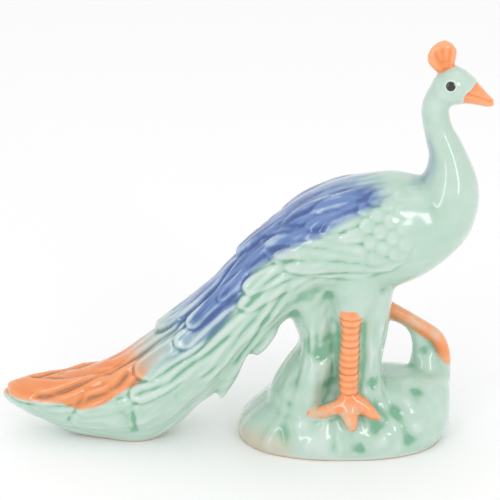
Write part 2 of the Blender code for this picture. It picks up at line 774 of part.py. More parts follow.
def thin_out(figure):
    """Brings the skin down to the solid's number of triangles, sparing the small forms."""
    group = figure.vertex_groups.new(name="may be thinned")
    for vertex in figure.data.vertices:
        x, y, z = vertex.co
        on_toes = TOES_FROM < z < TOES_TO and y < TOES_BEFORE
        weight = SMALL_THINNING if on_toes or z > HEAD_FROM else 1.0
        if z > CREST_ROOT[2]:
            weight = CREST_THINNING
        group.add([vertex.index], weight, "REPLACE")
    thin = figure.modifiers.new("thin", "DECIMATE")
    thin.vertex_group = group.name
    thin.ratio = SOLID_TRIANGLES / (2.0 * len(figure.data.polygons))
    apply_modifiers(figure)
    figure.vertex_groups.clear()


def stretch(figure):
    """Brings the drawing to the main sizes, from the hips along it and from the ground up."""
    for vertex in figure.data.vertices:
        x, y, z = vertex.co
        along = TRAIN_LENGTH / DRAWN_TRAIN if x < HIPS else FRONT_LENGTH / DRAWN_FRONT
        over_back = max(z - DRAWN_BACK, 0.0) * CREST_OVER_BACK / DRAWN_CREST
        below_back = min(z, DRAWN_BACK) * BACK_HEIGHT / DRAWN_BACK
        across = y * ROCK_WIDTH / DRAWN_WIDTH
        vertex.co = (HIPS + (x - HIPS) * along, across, below_back + over_back)


def stand_up(figure):
    """Cuts the underside flat, puts the origin under the middle and turns the drawing to metres."""
    solid = bmesh.new()
    solid.from_mesh(figure.data)
    skin = [*solid.verts, *solid.edges, *solid.faces]
    ground = {"plane_co": (0, 0, 0), "plane_no": (0, 0, -1), "clear_outer": True}
    bmesh.ops.bisect_plane(solid, geom=skin, **ground)
    bmesh.ops.holes_fill(solid, edges=[edge for edge in solid.edges if edge.is_boundary])
    corners = np.array([vertex.co for vertex in solid.verts])
    middle = (corners.min(axis=0) + corners.max(axis=0)) / 2
    place = Matrix.Scale(UNIT, 4) @ Matrix.Translation((-middle[0], -middle[1], 0.0))
    bmesh.ops.transform(solid, matrix=place, verts=solid.verts)
    solid.to_mesh(figure.data)
    solid.free()


def glaze():
    """Pale green glaze with a high gloss."""
    material = bpy.data.materials.new("celadon glaze")
    material.use_nodes = True
    shader = material.node_tree.nodes["Principled BSDF"]
    shader.inputs["Base Color"].default_value = GLAZE_COLOUR
    shader.inputs["Roughness"].default_value = GLAZE_ROUGHNESS
    return material


def main():
    for old in list(bpy.data.objects):
        bpy.data.objects.remove(old)
    collection = bpy.data.collections.new("Peacock figurine")
    bpy.context.scene.collection.children.link(collection)
    figure = bpy.data.objects.new("peacock_figurine", bpy.data.meshes.new("peacock_figurine"))
    collection.objects.link(figure)
    clay = shape_clay()
    clay.to_mesh(figure.data)
    clay.free()
    fuse(figure)
    soften_and_carve(figure)
    thin_out(figure)
    stretch(figure)
    stand_up(figure)
    figure.data.name = figure.name
    figure.data.shade_smooth()
    figure.data.materials.append(glaze())


if __name__ == "__main__":
    main()
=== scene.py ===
"""Looks of a glazed ceramic figurine: a peacock that walks over a rock, cast as one piece.

The forms are those of the solid, drawn in millimetres on a finer skin, with the carving that the
glaze has softened. The glaze is pale green, deeper where it pools. Blue is sprayed over the back
and orange over the train's end, and orange is brushed on the crest, the beak and the legs.
"""

from __future__ import annotations

import logging
import math
from collections.abc import Iterator, Mapping, Sequence
from dataclasses import dataclass, field, replace
from enum import Enum

import bmesh
import bpy
import numpy as np
from mathutils import Matrix, Vector

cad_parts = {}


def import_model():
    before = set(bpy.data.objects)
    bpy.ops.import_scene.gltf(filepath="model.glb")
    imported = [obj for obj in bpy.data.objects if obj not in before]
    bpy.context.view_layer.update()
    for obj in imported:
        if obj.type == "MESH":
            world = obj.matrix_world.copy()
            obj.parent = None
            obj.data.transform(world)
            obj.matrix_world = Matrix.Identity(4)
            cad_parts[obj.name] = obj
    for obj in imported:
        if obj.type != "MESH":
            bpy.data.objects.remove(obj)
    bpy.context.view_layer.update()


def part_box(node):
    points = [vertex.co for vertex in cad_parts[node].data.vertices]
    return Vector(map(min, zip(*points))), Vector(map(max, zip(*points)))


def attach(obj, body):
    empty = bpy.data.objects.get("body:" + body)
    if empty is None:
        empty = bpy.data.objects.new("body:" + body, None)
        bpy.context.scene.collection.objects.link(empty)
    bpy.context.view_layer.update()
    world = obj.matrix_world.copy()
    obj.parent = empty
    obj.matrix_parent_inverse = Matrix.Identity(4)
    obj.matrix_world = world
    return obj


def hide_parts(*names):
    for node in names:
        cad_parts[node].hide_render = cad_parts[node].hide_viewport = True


log = logging.getLogger("peacock")

Rows = tuple[tuple[float, ...], ...]
Colour = tuple[float, float, float]
Span = tuple[float, float]

# One unit of the drawing, in metres
UNIT = 0.001

# Height of the drawing where the head starts
HEAD_FROM = 135.0

# Distance inside a paint's edge that stands for a place far from it
UNPAINTED = -9.0


def soft_step(values: np.ndarray) -> np.ndarray:
    """From 0 at or below 0 to 1 at or above 1, with soft ends."""
    t = np.clip(values, 0.0, 1.0)
    return t * t * (3.0 - 2.0 * t)


def smooth_rows(rows: Sequence[Sequence[float]], steps: int = 6) -> list[np.ndarray]:
    """Makes rows of numbers finer by a smooth curve through them.

    Args:
        rows: the rows that the curve passes through.
        steps: how many rows stand for each span.

    Returns:
        The finer rows, the last of the given ones included.
    """
    points = np.array(rows, float)
    padded = np.vstack((2 * points[0] - points[1], points, 2 * points[-1] - points[-2]))
    finer = []
    for span in range(len(points) - 1):
        before, start, end, after = padded[span : span + 4]
        for step in range(steps):
            t = step / steps
            line = 2 * start + (end - before) * t
            bend = (2 * before - 5 * start + 4 * end - after) * t**2
            twist = (3 * start - before - 3 * end + after) * t**3
            finer.append((line + bend + twist) / 2)
    finer.append(points[-1])
    return finer


def read_table(table: Rows, places: np.ndarray, column: int = 1) -> np.ndarray:
    """Reads a table whose first column rises, by straight lines between its rows.

    Args:
        table: the table.
        places: where it is read, in terms of its first column.
        column: the column that is read.

    Returns:
        One number for each place.
    """
    rows = np.array(table)
    return np.interp(places, rows[:, 0], rows[:, column])


def from_span(
    points: np.ndarray, start: np.ndarray, end: np.ndarray
) -> tuple[np.ndarray, np.ndarray]:
    """Compares points with a straight span.

    Args:
        points: the points, one a row.
        start: where the span starts.
        end: where the span ends.

    Returns:
        How far along the span the nearest place is, from 0 to 1, and the way from there to
        the point.
    """
    run = end - start
    away = points - start
    t = np.clip(away @ run / (run @ run), 0.0, 1.0)
    return t, away - t[:, None] * run


class Clay:
    """Clay that forms are added to, one through another, before they are fused."""

    def __init__(self, segments: int = 40) -> None:
        """Starts with no clay.

        Args:
            segments: how many points a ring of a loft has.
        """
        self.mesh = bmesh.new()
        self.segments = segments

    def oval(self, centre: Vector, side: Vector, rise: Vector) -> Matrix:
        """The matrix that carries a unit circle to an oval with these half axes.

        Args:
            centre: middle of the oval.
            side: one half axis.
            rise: the other half axis.

        Returns:
            The matrix.
        """
        across = side.cross(rise).normalized()
        turn = Matrix((side, rise, across)).transposed().to_4x4()
        return Matrix.Translation(centre) @ turn

    def loft(self, ovals: Sequence[Matrix], fullness: float = 2.0) -> None:
        """Adds a closed skin through a row of ovals.

        Args:
            ovals: the ovals' matrices, in order.
            fullness: 2 leaves true ovals, and more squares them.
        """
        edges = []
        for matrix in ovals:
            ring = bmesh.ops.create_circle(self.mesh, segments=self.segments, radius=1.0)["verts"]
            for vertex in ring:
                for axis in (0, 1):
                    reach = vertex.co[axis]
                    vertex.co[axis] = math.copysign(abs(reach) ** (2.0 / fullness), reach)
            bmesh.ops.transform(self.mesh, matrix=matrix, verts=ring)
            edges.append(list({edge for vertex in ring for edge in vertex.link_edges}))
        for first, second in zip(edges, edges[1:]):
            bmesh.ops.bridge_loops(self.mesh, edges=first + second)
        bmesh.ops.holes_fill(self.mesh, edges=edges[0] + edges[-1], sides=self.segments)

    def ball(self, centre: Vector, radius: float) -> None:
        """Adds a ball of this radius, round this centre."""
        place = Matrix.Translation(centre)
        bmesh.ops.create_icosphere(self.mesh, subdivisions=3, radius=radius, matrix=place)

    def limb(self, joints: Sequence[Sequence[float]]) -> None:
        """Adds a round limb with a ball at each end.

        Args:
            joints: x, y, z and radius at each joint.
        """
        rows = [Vector(row) for row in smooth_rows(joints)]
        ovals = []
        for i, row in enumerate(rows):
            ahead = rows[min(i + 1, len(rows) - 1)].xyz - rows[max(i - 1, 0)].xyz
            turn = ahead.to_track_quat("Z", "Y")
            radius = row[3]
            side = turn @ Vector((radius, 0, 0))
            ovals.append(self.oval(row.xyz, side, turn @ Vector((0, radius, 0))))
        self.loft(ovals)
        self.ball(rows[0].xyz, rows[0][3])
        self.ball(rows[-1].xyz, rows[-1][3])


@dataclass(frozen=True)
class Strokes:
    """Long soft strokes of the modelling tool, in two directions of a surface."""

    length: float
    width: float
    depth: float
    seed: int
    lanes: int = 64

    def heights(self, lengthwise: np.ndarray, crosswise: np.ndarray) -> np.ndarray:
        """Height of the strokes.

        Args:
            lengthwise: where the points are along the strokes.
            crosswise: where they are across them.

        Returns:
            One height for each point, around 0.
        """
        chance = np.random.default_rng(self.seed)
        shifts = chance.uniform(0.0, 1.0, (self.lanes, self.lanes))
        row = crosswise / self.width
        low = np.floor(row)
        total = np.zeros(len(row))
        for step in (0, 1):
            lane = (low + step).astype(int) % self.lanes
            place = lengthwise / self.length + shifts[lane, 0] * self.lanes
            start = np.floor(place).astype(int)
            share = soft_step(place - start)
            first = shifts[lane, start % self.lanes]
            second = shifts[lane, (start + 1) % self.lanes]
            near = soft_step(1.0 - np.abs(row - low - step))
            total += near * (first + (second - first) * share)
        return (total - 0.5) * self.depth


@dataclass(frozen=True)
class Body:
    """The body, cut across X: x, top z, bottom z, half width."""

    cuts: Rows = (
        (4.0, 83.0, 70.0, 8.0), (15.0, 94.2, 65.0, 15.0), (26.0, 103.6, 63.0, 18.0),
        (38.0, 109.2, 62.0, 19.4), (50.0, 112.1, 62.8, 19.4), (60.0, 113.1, 65.6, 18.8),
        (70.0, 111.0, 70.0, 17.6), (78.0, 107.0, 75.6, 15.6), (85.0, 102.0, 82.6, 12.0),
        (90.2, 97.5, 90.5, 6.0),
    )

    def shape(self, clay: Clay) -> None:
        """Adds the body to the clay."""
        ovals = []
        for x, top, bottom, half_width in smooth_rows(self.cuts):
            centre = Vector((x, 0, (top + bottom) / 2))
            rise = Vector((0, 0, (top - bottom) / 2))
            ovals.append(clay.oval(centre, Vector((0, half_width, 0)), rise))
        clay.loft(ovals)


@dataclass(frozen=True)
class Neck:
    """The neck and breast, cut across Z: z, back x, front x, half width."""

    cuts: Rows = (
        (84.0, 62.0, 87.0, 13.0), (91.0, 62.0, 90.8, 15.4), (99.8, 65.0, 92.8, 15.4),
        (106.3, 68.5, 92.8, 14.0), (112.9, 71.4, 91.1, 11.8), (119.3, 72.7, 88.2, 9.6),
        (125.8, 71.2, 84.9, 7.6), (132.1, 69.7, 81.2, 6.1), (138.5, 69.0, 79.6, 5.6),
        (144.0, 70.4, 82.0, 6.0), (148.5, 73.0, 82.0, 5.0),
    )

    def shape(self, clay: Clay) -> None:
        """Adds the neck to the clay."""
        ovals = []
        for z, back, front, half_width in smooth_rows(self.cuts):
            centre = Vector(((back + front) / 2, 0, z))
            side = Vector(((front - back) / 2, 0, 0))
            ovals.append(clay.oval(centre, side, Vector((0, half_width, 0))))
        clay.loft(ovals)

    def back_at(self, z: np.ndarray) -> np.ndarray:
        """Where the nape is along X at these heights."""
        return read_table(self.cuts, z)


@dataclass(frozen=True)
class Head:
    """The head and beak, with the crest, the mouth and the eyes. Cut across X as the body is."""

    cuts: Rows = (
        (72.4, 148.2, 140.5, 3.6), (74.8, 152.2, 139.4, 6.2), (77.9, 154.7, 139.6, 7.4),
        (81.5, 155.2, 140.2, 7.4), (85.0, 153.6, 140.4, 6.5), (88.0, 151.2, 140.1, 5.2),
        (91.0, 148.2, 139.5, 4.0), (94.2, 144.6, 138.9, 2.7), (96.8, 142.2, 139.4, 1.5),
    )
    crest_root: tuple[float, float, float] = (77.6, 0.0, 152.6)
    crest_stem_radius: float = 1.9
    crest_waist_radius: float = 2.4
    crest_lobes: Rows = (
        (135.0, 9.2), (126.5, 10.5), (117.0, 11.4), (106.5, 12.2), (96.0, 12.6),
        (86.0, 11.8), (78.0, 10.4),
    )
    crest_grooves: tuple[float, ...] = (119.0, 102.0, 83.0)
    crest_groove_depth: float = 0.38
    crest_groove_width: float = 0.9
    crest_groove_from: float = 3.0
    crest_groove_rise: float = 2.5
    crest_groove_to: float = 11.0
    crest_groove_fall: float = 2.0
    crest_lobe_radius: float = 2.3
    crest_waist: float = 0.6
    beak_step: float = 0.3
    beak_blend: float = 0.4
    mouth_line: Rows = ((84.6, 146.4), (95.4, 141.8))
    mouth_depth: float = 0.35
    mouth_width: float = 0.6
    eye: tuple[float, float, float] = (78.8, 7.1, 149.3)
    eye_radius: float = 1.9
    eye_edge: float = 0.6
    eye_lift: float = 0.4
    beak_paint: tuple[float, float, float] = (84.2, 145.3, 1.1)
    crest_paint: tuple[float, float, float] = (73.4, 152.2, 0.46)

    def shape(self, clay: Clay) -> None:
        """Adds the head and the crest's lobes to the clay."""
        Body(self.cuts).shape(clay)
        root = Vector(self.crest_root)
        for lean, reach in self.crest_lobes:
            angle = math.radians(lean)
            away = Vector((math.cos(angle), 0, math.sin(angle)))
            tip = root + away * (reach - self.crest_lobe_radius)
            waist = root.lerp(tip, self.crest_waist)
            stem = (*root, self.crest_stem_radius)
            clay.limb((stem, (*waist, self.crest_waist_radius), (*tip, self.crest_lobe_radius)))

    def heights(self, points: np.ndarray) -> np.ndarray:
        """Height of the eyes, less the step at the beak and the line of the mouth.

        Args:
            points: points of the smooth clay, one a row.

        Returns:
            One height for each point.
        """
        x, y, z = points.T
        (x0, z0), (x1, z1) = self.mouth_line
        from_mouth = z - z0 - (x - x0) * (z1 - z0) / (x1 - x0)
        mouth = self.mouth_depth * np.exp(-((from_mouth / self.mouth_width) ** 2))
        mouth *= soft_step(x - x0)
        beak = self.beak_step * soft_step(self._in_beak_paint(x, z) + self.beak_blend)
        cx, cy, cz = self.eye
        from_eye = np.sqrt((x - cx) ** 2 + (np.abs(y) - cy) ** 2 + (z - cz) ** 2)
        eye = self.eye_lift * soft_step((1.0 - from_eye / self.eye_radius) / self.eye_edge + 0.5)
        root_x, _, root_z = self.crest_root
        crest = np.zeros(len(points))
        for lean in self.crest_grooves:
            angle = math.radians(lean)
            out = (x - root_x) * math.cos(angle) + (z - root_z) * math.sin(angle)
            across = (x - root_x) * math.sin(angle) - (z - root_z) * math.cos(angle)
            groove = np.exp(-((across / self.crest_groove_width) ** 2))
            groove *= soft_step((out - self.crest_groove_from) / self.crest_groove_rise)
            crest += groove * soft_step((self.crest_groove_to - out) / self.crest_groove_fall)
        crest *= self.crest_groove_depth
        return eye - (mouth + beak + crest) * (z > HEAD_FROM)

    def _in_beak_paint(self, x: np.ndarray, z: np.ndarray) -> np.ndarray:
        """How far inside the orange of the beak these places lie, seen from the side."""
        start, low, lean = self.beak_paint
        return x - start - lean * np.maximum(z - low, 0.0)

    def painted(self, points: np.ndarray) -> np.ndarray:
        """How far inside the orange of the beak and the crest these points lie.

        Args:
            points: points of the skin, one a row.

        Returns:
            Millimetres inside the paint's edge, less than 0 outside it.
        """
        x, _, z = points.T
        start, low, lean = self.crest_paint
        crest = z - low - lean * (x - start)
        return np.where(z > HEAD_FROM, np.maximum(self._in_beak_paint(x, z), crest), UNPAINTED)


@dataclass(frozen=True)
class Train:
    """The long train, on leaning cuts: top x and z, bottom x and z, half width."""

    cuts: Rows = (
        (34.0, 108.0, 31.0, 62.0, 17.5),
        (17.0, 95.2, 17.5, 50.8, 16.6),
        (5.4, 86.0, 9.5, 41.6, 15.8),
        (-6.5, 72.6, -0.4, 32.0, 15.4),
        (-18.5, 60.2, -8.0, 21.0, 15.4),
        (-30.6, 49.8, -17.0, 13.4, 15.4),
        (-38.8, 42.4, -27.0, 3.0, 15.0),
        (-51.0, 33.8, -40.0, -4.6, 14.0),
        (-63.4, 28.8, -54.0, -2.2, 12.4),
        (-75.7, 25.8, -68.0, 0.4, 10.2),
        (-85.6, 24.0, -80.6, 6.4, 7.6),
        (-92.8, 21.4, -90.4, 11.8, 5.0),
        (-97.0, 19.2, -96.8, 16.2, 2.4),
    )
    tufts: tuple[Rows, ...] = (
        (
            (0.0, 7.0, 42.0, 4.0), (-3.4, 7.0, 31.0, 3.6), (-6.6, 7.0, 23.0, 2.4),
            (-7.4, 7.0, 19.6, 1.4),
        ),
        ((11.6, 7.0, 50.0, 4.0), (8.4, 7.0, 43.0, 3.2), (6.8, 7.0, 39.4, 2.0)),
    )

    def shape(self, clay: Clay) -> None:
        """Adds the train and the tufts under both its sides to the clay."""
        ovals = []
        for top_x, top_z, bottom_x, bottom_z, half_width in smooth_rows(self.cuts):
            top = Vector((top_x, 0, top_z))
            bottom = Vector((bottom_x, 0, bottom_z))
            side = Vector((0, half_width, 0))
            ovals.append(clay.oval((top + bottom) / 2, side, (top - bottom) / 2))
        clay.loft(ovals)
        for joints in self.tufts:
            for side in (1, -1):
                clay.limb([(x, side * y, z, radius) for x, y, z, radius in joints])


@dataclass(frozen=True)
class Legs:
    """The legs and toes: x, y, z and radius at each joint, and the grooves of the near shank."""

    near_thigh: Rows = ((45.0, -8.0, 76.0, 12.0), (44.4, -11.6, 66.0, 9.2), (43.4, -14.2, 58.5, 6.2))
    near_shank: Rows = (
        (43.2, -15.4, 61.0, 3.8), (43.2, -16.4, 50.0, 4.3), (43.1, -17.4, 38.0, 4.4),
        (42.9, -18.8, 28.0, 3.8), (43.2, -19.8, 24.0, 3.4),
    )
    near_toes: tuple[Rows, ...] = (
        (
            (43.8, -20.0, 25.5, 3.0), (39.4, -20.8, 22.8, 3.0), (33.6, -20.0, 20.0, 2.6),
            (28.4, -18.4, 18.0, 1.3),
        ),
        (
            (44.0, -19.8, 25.0, 3.4), (43.2, -22.2, 21.0, 3.6), (43.9, -24.0, 17.4, 3.1),
            (44.4, -24.8, 15.0, 1.9),
        ),
        (
            (44.8, -20.0, 25.5, 3.0), (48.6, -21.0, 22.8, 3.0), (52.2, -22.0, 20.0, 2.6),
            (55.4, -22.4, 17.8, 1.3),
        ),
    )
    far_thigh: Rows = ((49.0, 5.0, 74.0, 10.0), (50.6, 6.0, 62.0, 6.8), (55.0, 6.6, 54.4, 4.4))
    far_shank: Rows = (
        (57.0, 5.0, 55.6, 2.9), (65.0, 5.0, 51.0, 2.8), (73.0, 5.0, 46.0, 2.8),
        (80.3, 5.0, 40.4, 2.9), (83.3, 5.0, 32.6, 2.8), (83.6, 5.0, 25.0, 2.8),
        (83.2, 5.0, 17.0, 3.2),
    )
    rings_from: float = 26.0
    rings_to: float = 61.0
    ring_pitch: float = 2.8
    ring_depth: float = 0.4
    ring_reach: float = 6.0
    ring_back: float = 0.3
    ring_sharpness: float = 1.5
    paint_reach: float = 0.7
    near_paint_over: float = 1.8
    near_paint_half: float = 4.3
    far_paint_from: float = 57.0
    far_paint_taper: float = 5.4
    far_paint_bend: float = 36.0
    far_paint_run: float = 24.0
    far_paint_most: float = 0.2
    toe_paint_inset: float = 0.2
    toe_paint_most: float = 0.35

    def shape(self, clay: Clay) -> None:
        """Adds both legs and the near foot's toes to the clay."""
        for joints in (self.near_thigh, self.near_shank, *self.near_toes):
            clay.limb(joints)
        clay.limb(self.far_thigh)
        clay.limb(self.far_shank)

    def _axis(self, z: np.ndarray) -> tuple[np.ndarray, np.ndarray]:
        """X and Y of the near shank's middle at these heights."""
        shank = np.array(self.near_shank)[::-1]
        return tuple(np.interp(z, shank[:, 2], shank[:, axis]) for axis in (0, 1))

    def heights(self, points: np.ndarray) -> np.ndarray:
        """Less the grooves between the scales round the near leg.

        Args:
            points: points of the smooth clay, one a row.

        Returns:
            One height for each point.
        """
        x, y, z = points.T
        axis_x, axis_y = self._axis(z)
        near = self.ring_reach - np.hypot(x - axis_x, y - axis_y)
        on_leg = soft_step(near) * soft_step(axis_y + self.ring_back - y)
        on_leg *= soft_step(z - self.rings_from) * soft_step(self.rings_to - z)
        groove = (1.0 - np.abs(np.sin(np.pi * z / self.ring_pitch))) ** self.ring_sharpness
        return -self.ring_depth * groove * on_leg

    def _inside(self, points: np.ndarray, joints: Rows) -> np.ndarray:
        """How far inside the skin round a limb these points lie, less than 0 outside it."""
        best = np.full(len(points), UNPAINTED)
        rows = smooth_rows(joints)
        for start, end in zip(rows, rows[1:]):
            t, away = from_span(points, start[:3], end[:3])
            radius = start[3] + (end[3] - start[3]) * t
            inside = radius + self.paint_reach - np.linalg.norm(away, axis=1)
            best = np.maximum(best, inside)
        return best

    def painted(self, points: np.ndarray) -> np.ndarray:
        """How far inside the orange of the legs these points lie.

        Args:
            points: points of the skin, one a row.

        Returns:
            Millimetres inside the paint's edge, less than 0 outside it.
        """
        x, y, z = points.T
        axis_x, axis_y = self._axis(z)
        near = self._inside(points, self.near_shank) + self.paint_reach
        near = np.minimum(near, self.rings_to + self.near_paint_over - z)
        near = np.minimum(near, axis_y + self.ring_back - y)
        near = np.minimum(near, self.near_paint_half - np.abs(x - axis_x))
        far = np.minimum(self._inside(points, self.far_shank), x - self.far_paint_from)
        far -= self.far_paint_taper * soft_step((self.far_paint_bend - z) / self.far_paint_run)
        inside = np.maximum(near, np.minimum(far, self.far_paint_most))
        for joints in self.near_toes:
            toe = self._inside(points, joints) - self.toe_paint_inset
            inside = np.maximum(inside, np.minimum(toe, self.toe_paint_most))
        return inside


@dataclass(frozen=True)
class Rock:
    """The rock, cut across Z: z, left x, right x, near y, far y. Its pillars carry the body."""

    cuts: Rows = (
        (-4.0, 1.6, 80.6, -23.2, 24.6),
        (1.5, -0.8, 83.4, -25.2, 26.8),
        (5.0, -0.8, 85.6, -25.6, 27.2),
        (9.0, 1.8, 86.0, -25.0, 26.6),
        (14.0, 7.0, 85.8, -22.8, 24.6),
        (19.0, 12.2, 85.4, -19.2, 21.4),
        (23.2, 16.0, 84.8, -14.8, 17.4),
        (26.0, 20.6, 82.0, -9.8, 12.4),
        (27.8, 27.0, 72.0, -5.0, 7.0),
    )
    fullness: float = 2.35
    pillars: tuple[Rows, ...] = (
        (
            (68.0, 28.0, -1.6, 11.4, 13.4),
            (54.0, 29.4, -3.0, 8.9, 12.6),
            (43.0, 30.8, -3.4, 7.6, 12.6),
            (32.0, 28.2, -4.0, 10.8, 14.0),
            (20.0, 24.6, -3.0, 13.4, 15.4),
            (10.0, 25.0, -3.0, 12.0, 14.0),
        ),
        (
            (66.0, 40.0, -1.0, 8.0, 13.4),
            (44.0, 40.0, -2.0, 7.0, 12.0),
            (20.0, 40.0, -1.0, 9.0, 12.0),
            (10.0, 40.0, -1.0, 9.0, 12.0),
        ),
        (
            (68.0, 51.6, -2.6, 9.4, 13.2),
            (56.0, 51.7, -3.6, 8.1, 12.6),
            (43.0, 50.8, -4.0, 7.2, 12.4),
            (32.0, 50.4, -4.4, 6.6, 12.6),
            (20.0, 51.0, -4.0, 9.0, 14.4),
            (10.0, 51.0, -4.0, 9.0, 14.0),
        ),
    )
    web: Rows = (
        (55.0, 7.4, 52.0, 5.0), (62.0, 7.4, 49.2, 3.0), (69.6, 7.4, 44.8, 2.8),
        (74.6, 7.0, 36.0, 4.6), (76.6, 5.6, 24.0, 7.0),
    )
    hollows: Rows = (
        (32.2, -15.5, 42.3, 4.2, 2.4),
        (34.0, -14.6, 48.0, 6.0, 0.9),
        (35.3, -14.5, 28.6, 4.2, 1.2),
        (53.3, -15.9, 29.7, 4.0, 1.6),
        (20.2, -14.5, 29.9, 5.4, 1.4),
        (17.8, -15.7, 20.3, 5.4, 1.5),
        (17.8, -19.8, 9.1, 5.0, 1.6),
        (53.8, -23.3, 13.0, 4.4, 1.4),
        (62.2, -18.2, 18.5, 5.2, 1.8),
        (67.6, -20.9, 7.4, 5.0, 2.0),
        (47.8, -25.1, 6.0, 4.4, 1.3),
        (70.8, -10.0, 24.1, 5.0, 1.7),
        (75.0, 3.6, 35.2, 3.8, 1.4),
        (66.6, -16.0, 21.6, 3.6, -0.9),
        (70.6, -19.6, 12.4, 4.6, -1.2),
        (56.4, -23.6, 8.6, 5.0, -1.0),
        (30.6, -24.6, 7.4, 6.0, -1.0),
        (24.4, -20.0, 14.6, 5.0, -1.0),
        (10.8, -19.0, 4.6, 5.0, -1.0),
    )
    flutes: Rows = (
        (38.6, 62.0, 36.8, 40.0, 1.5, 0.8),
        (31.4, 62.0, 29.8, 46.0, 1.6, 0.6),
        (25.4, 58.0, 22.6, 30.0, 2.0, 0.6),
        (48.4, 61.0, 48.0, 33.0, 1.5, 0.8),
        (54.6, 60.0, 53.4, 42.0, 1.8, 0.6),
    )
    hollow_sharpness: float = 2.0
    flute_fade: float = 5.0
    pool_drop: float = 0.8
    pool_spread: float = 1.3
    pool_depths: Span = (-0.4, 0.6)
    pool_most: float = 0.7
    strokes: tuple[Strokes, ...] = (Strokes(13.0, 4.2, 1.5, 5), Strokes(7.0, 2.4, 0.8, 9))
    worn_right: float = 26.0
    worn_run: float = 14.0
    worn_top: float = 12.0
    worn_rise: float = 9.0
    stroke_middle: float = 42.0
    stroke_radius: float = 26.0
    stroke_lean: float = 0.35

    def shape(self, clay: Clay) -> None:
        """Adds the mound, its pillars and the web beside the far leg to the clay."""
        ovals = []
        for z, left, right, near, far in smooth_rows(self.cuts):
            centre = Vector(((left + right) / 2, (near + far) / 2, z))
            side = Vector(((right - left) / 2, 0, 0))
            ovals.append(clay.oval(centre, side, Vector((0, (far - near) / 2, 0))))
        clay.loft(ovals, self.fullness)
        for cuts in self.pillars:
            ovals = []
            for z, x, y, half_x, half_y in smooth_rows(cuts):
                side = Vector((half_x, 0, 0))
                ovals.append(clay.oval(Vector((x, y, z)), side, Vector((0, half_y, 0))))
            clay.loft(ovals)
        clay.limb(self.web)

    def heights(self, points: np.ndarray) -> np.ndarray:
        """Less the hollows and the pillars' upright grooves, which the far side repeats.

        Args:
            points: points of the smooth clay, one a row.

        Returns:
            One height for each point.
        """
        x, y, z = points.T
        depths = np.zeros(len(points))
        for cx, cy, cz, radius, depth in self.hollows:
            for side in (1, -1):
                away = (x - cx) ** 2 + (y - side * cy) ** 2 + (z - cz) ** 2
                depths += depth * np.exp(-self.hollow_sharpness * away / radius**2)
        for top_x, top_z, bottom_x, bottom_z, width, depth in self.flutes:
            across = (x - np.interp(z, (bottom_z, top_z), (bottom_x, top_x))) / width
            shown = soft_step((z - bottom_z) / self.flute_fade)
            shown *= soft_step((top_z - z) / self.flute_fade)
            depths += depth * np.exp(-(across**2)) * shown
        return -depths

    def pools(self, points: np.ndarray) -> np.ndarray:
        """Where the glaze has run together in and under the hollows, and is thin on the swells.

        Args:
            points: points of the skin, one a row.

        Returns:
            A number up to 1 for each point, less than 0 on the swells.
        """
        x, y, z = points.T
        deep = np.zeros(len(points))
        for cx, cy, cz, radius, depth in self.hollows:
            away = (x - cx) ** 2 + (np.abs(y) - abs(cy)) ** 2 + (z - cz + self.pool_drop) ** 2
            pooled = np.clip(depth, *self.pool_depths)
            deep += pooled * np.exp(-away / (self.pool_spread * radius) ** 2)
        return np.minimum(deep, self.pool_most)

    def worn(self, points: np.ndarray) -> np.ndarray:
        """How far the clay shows through the glaze at the left of the rock's foot.

        Args:
            points: points of the skin, one a row.

        Returns:
            A number from 0 to 1 for each point.
        """
        x, _, z = points.T
        left = soft_step((self.worn_right - x) / self.worn_run)
        return left * soft_step((self.worn_top - z) / self.worn_rise)

    def stroked(self, points: np.ndarray) -> np.ndarray:
        """Height of the tool's strokes, which run down the pillars and round the mound.

        Args:
            points: points of the smooth clay, one a row.

        Returns:
            One height for each point, around 0.
        """
        x, y, z = points.T
        round_it = np.arctan2(y, x - self.stroke_middle) * self.stroke_radius
        down = z + self.stroke_lean * round_it
        return sum(strokes.heights(down, round_it) for strokes in self.strokes)


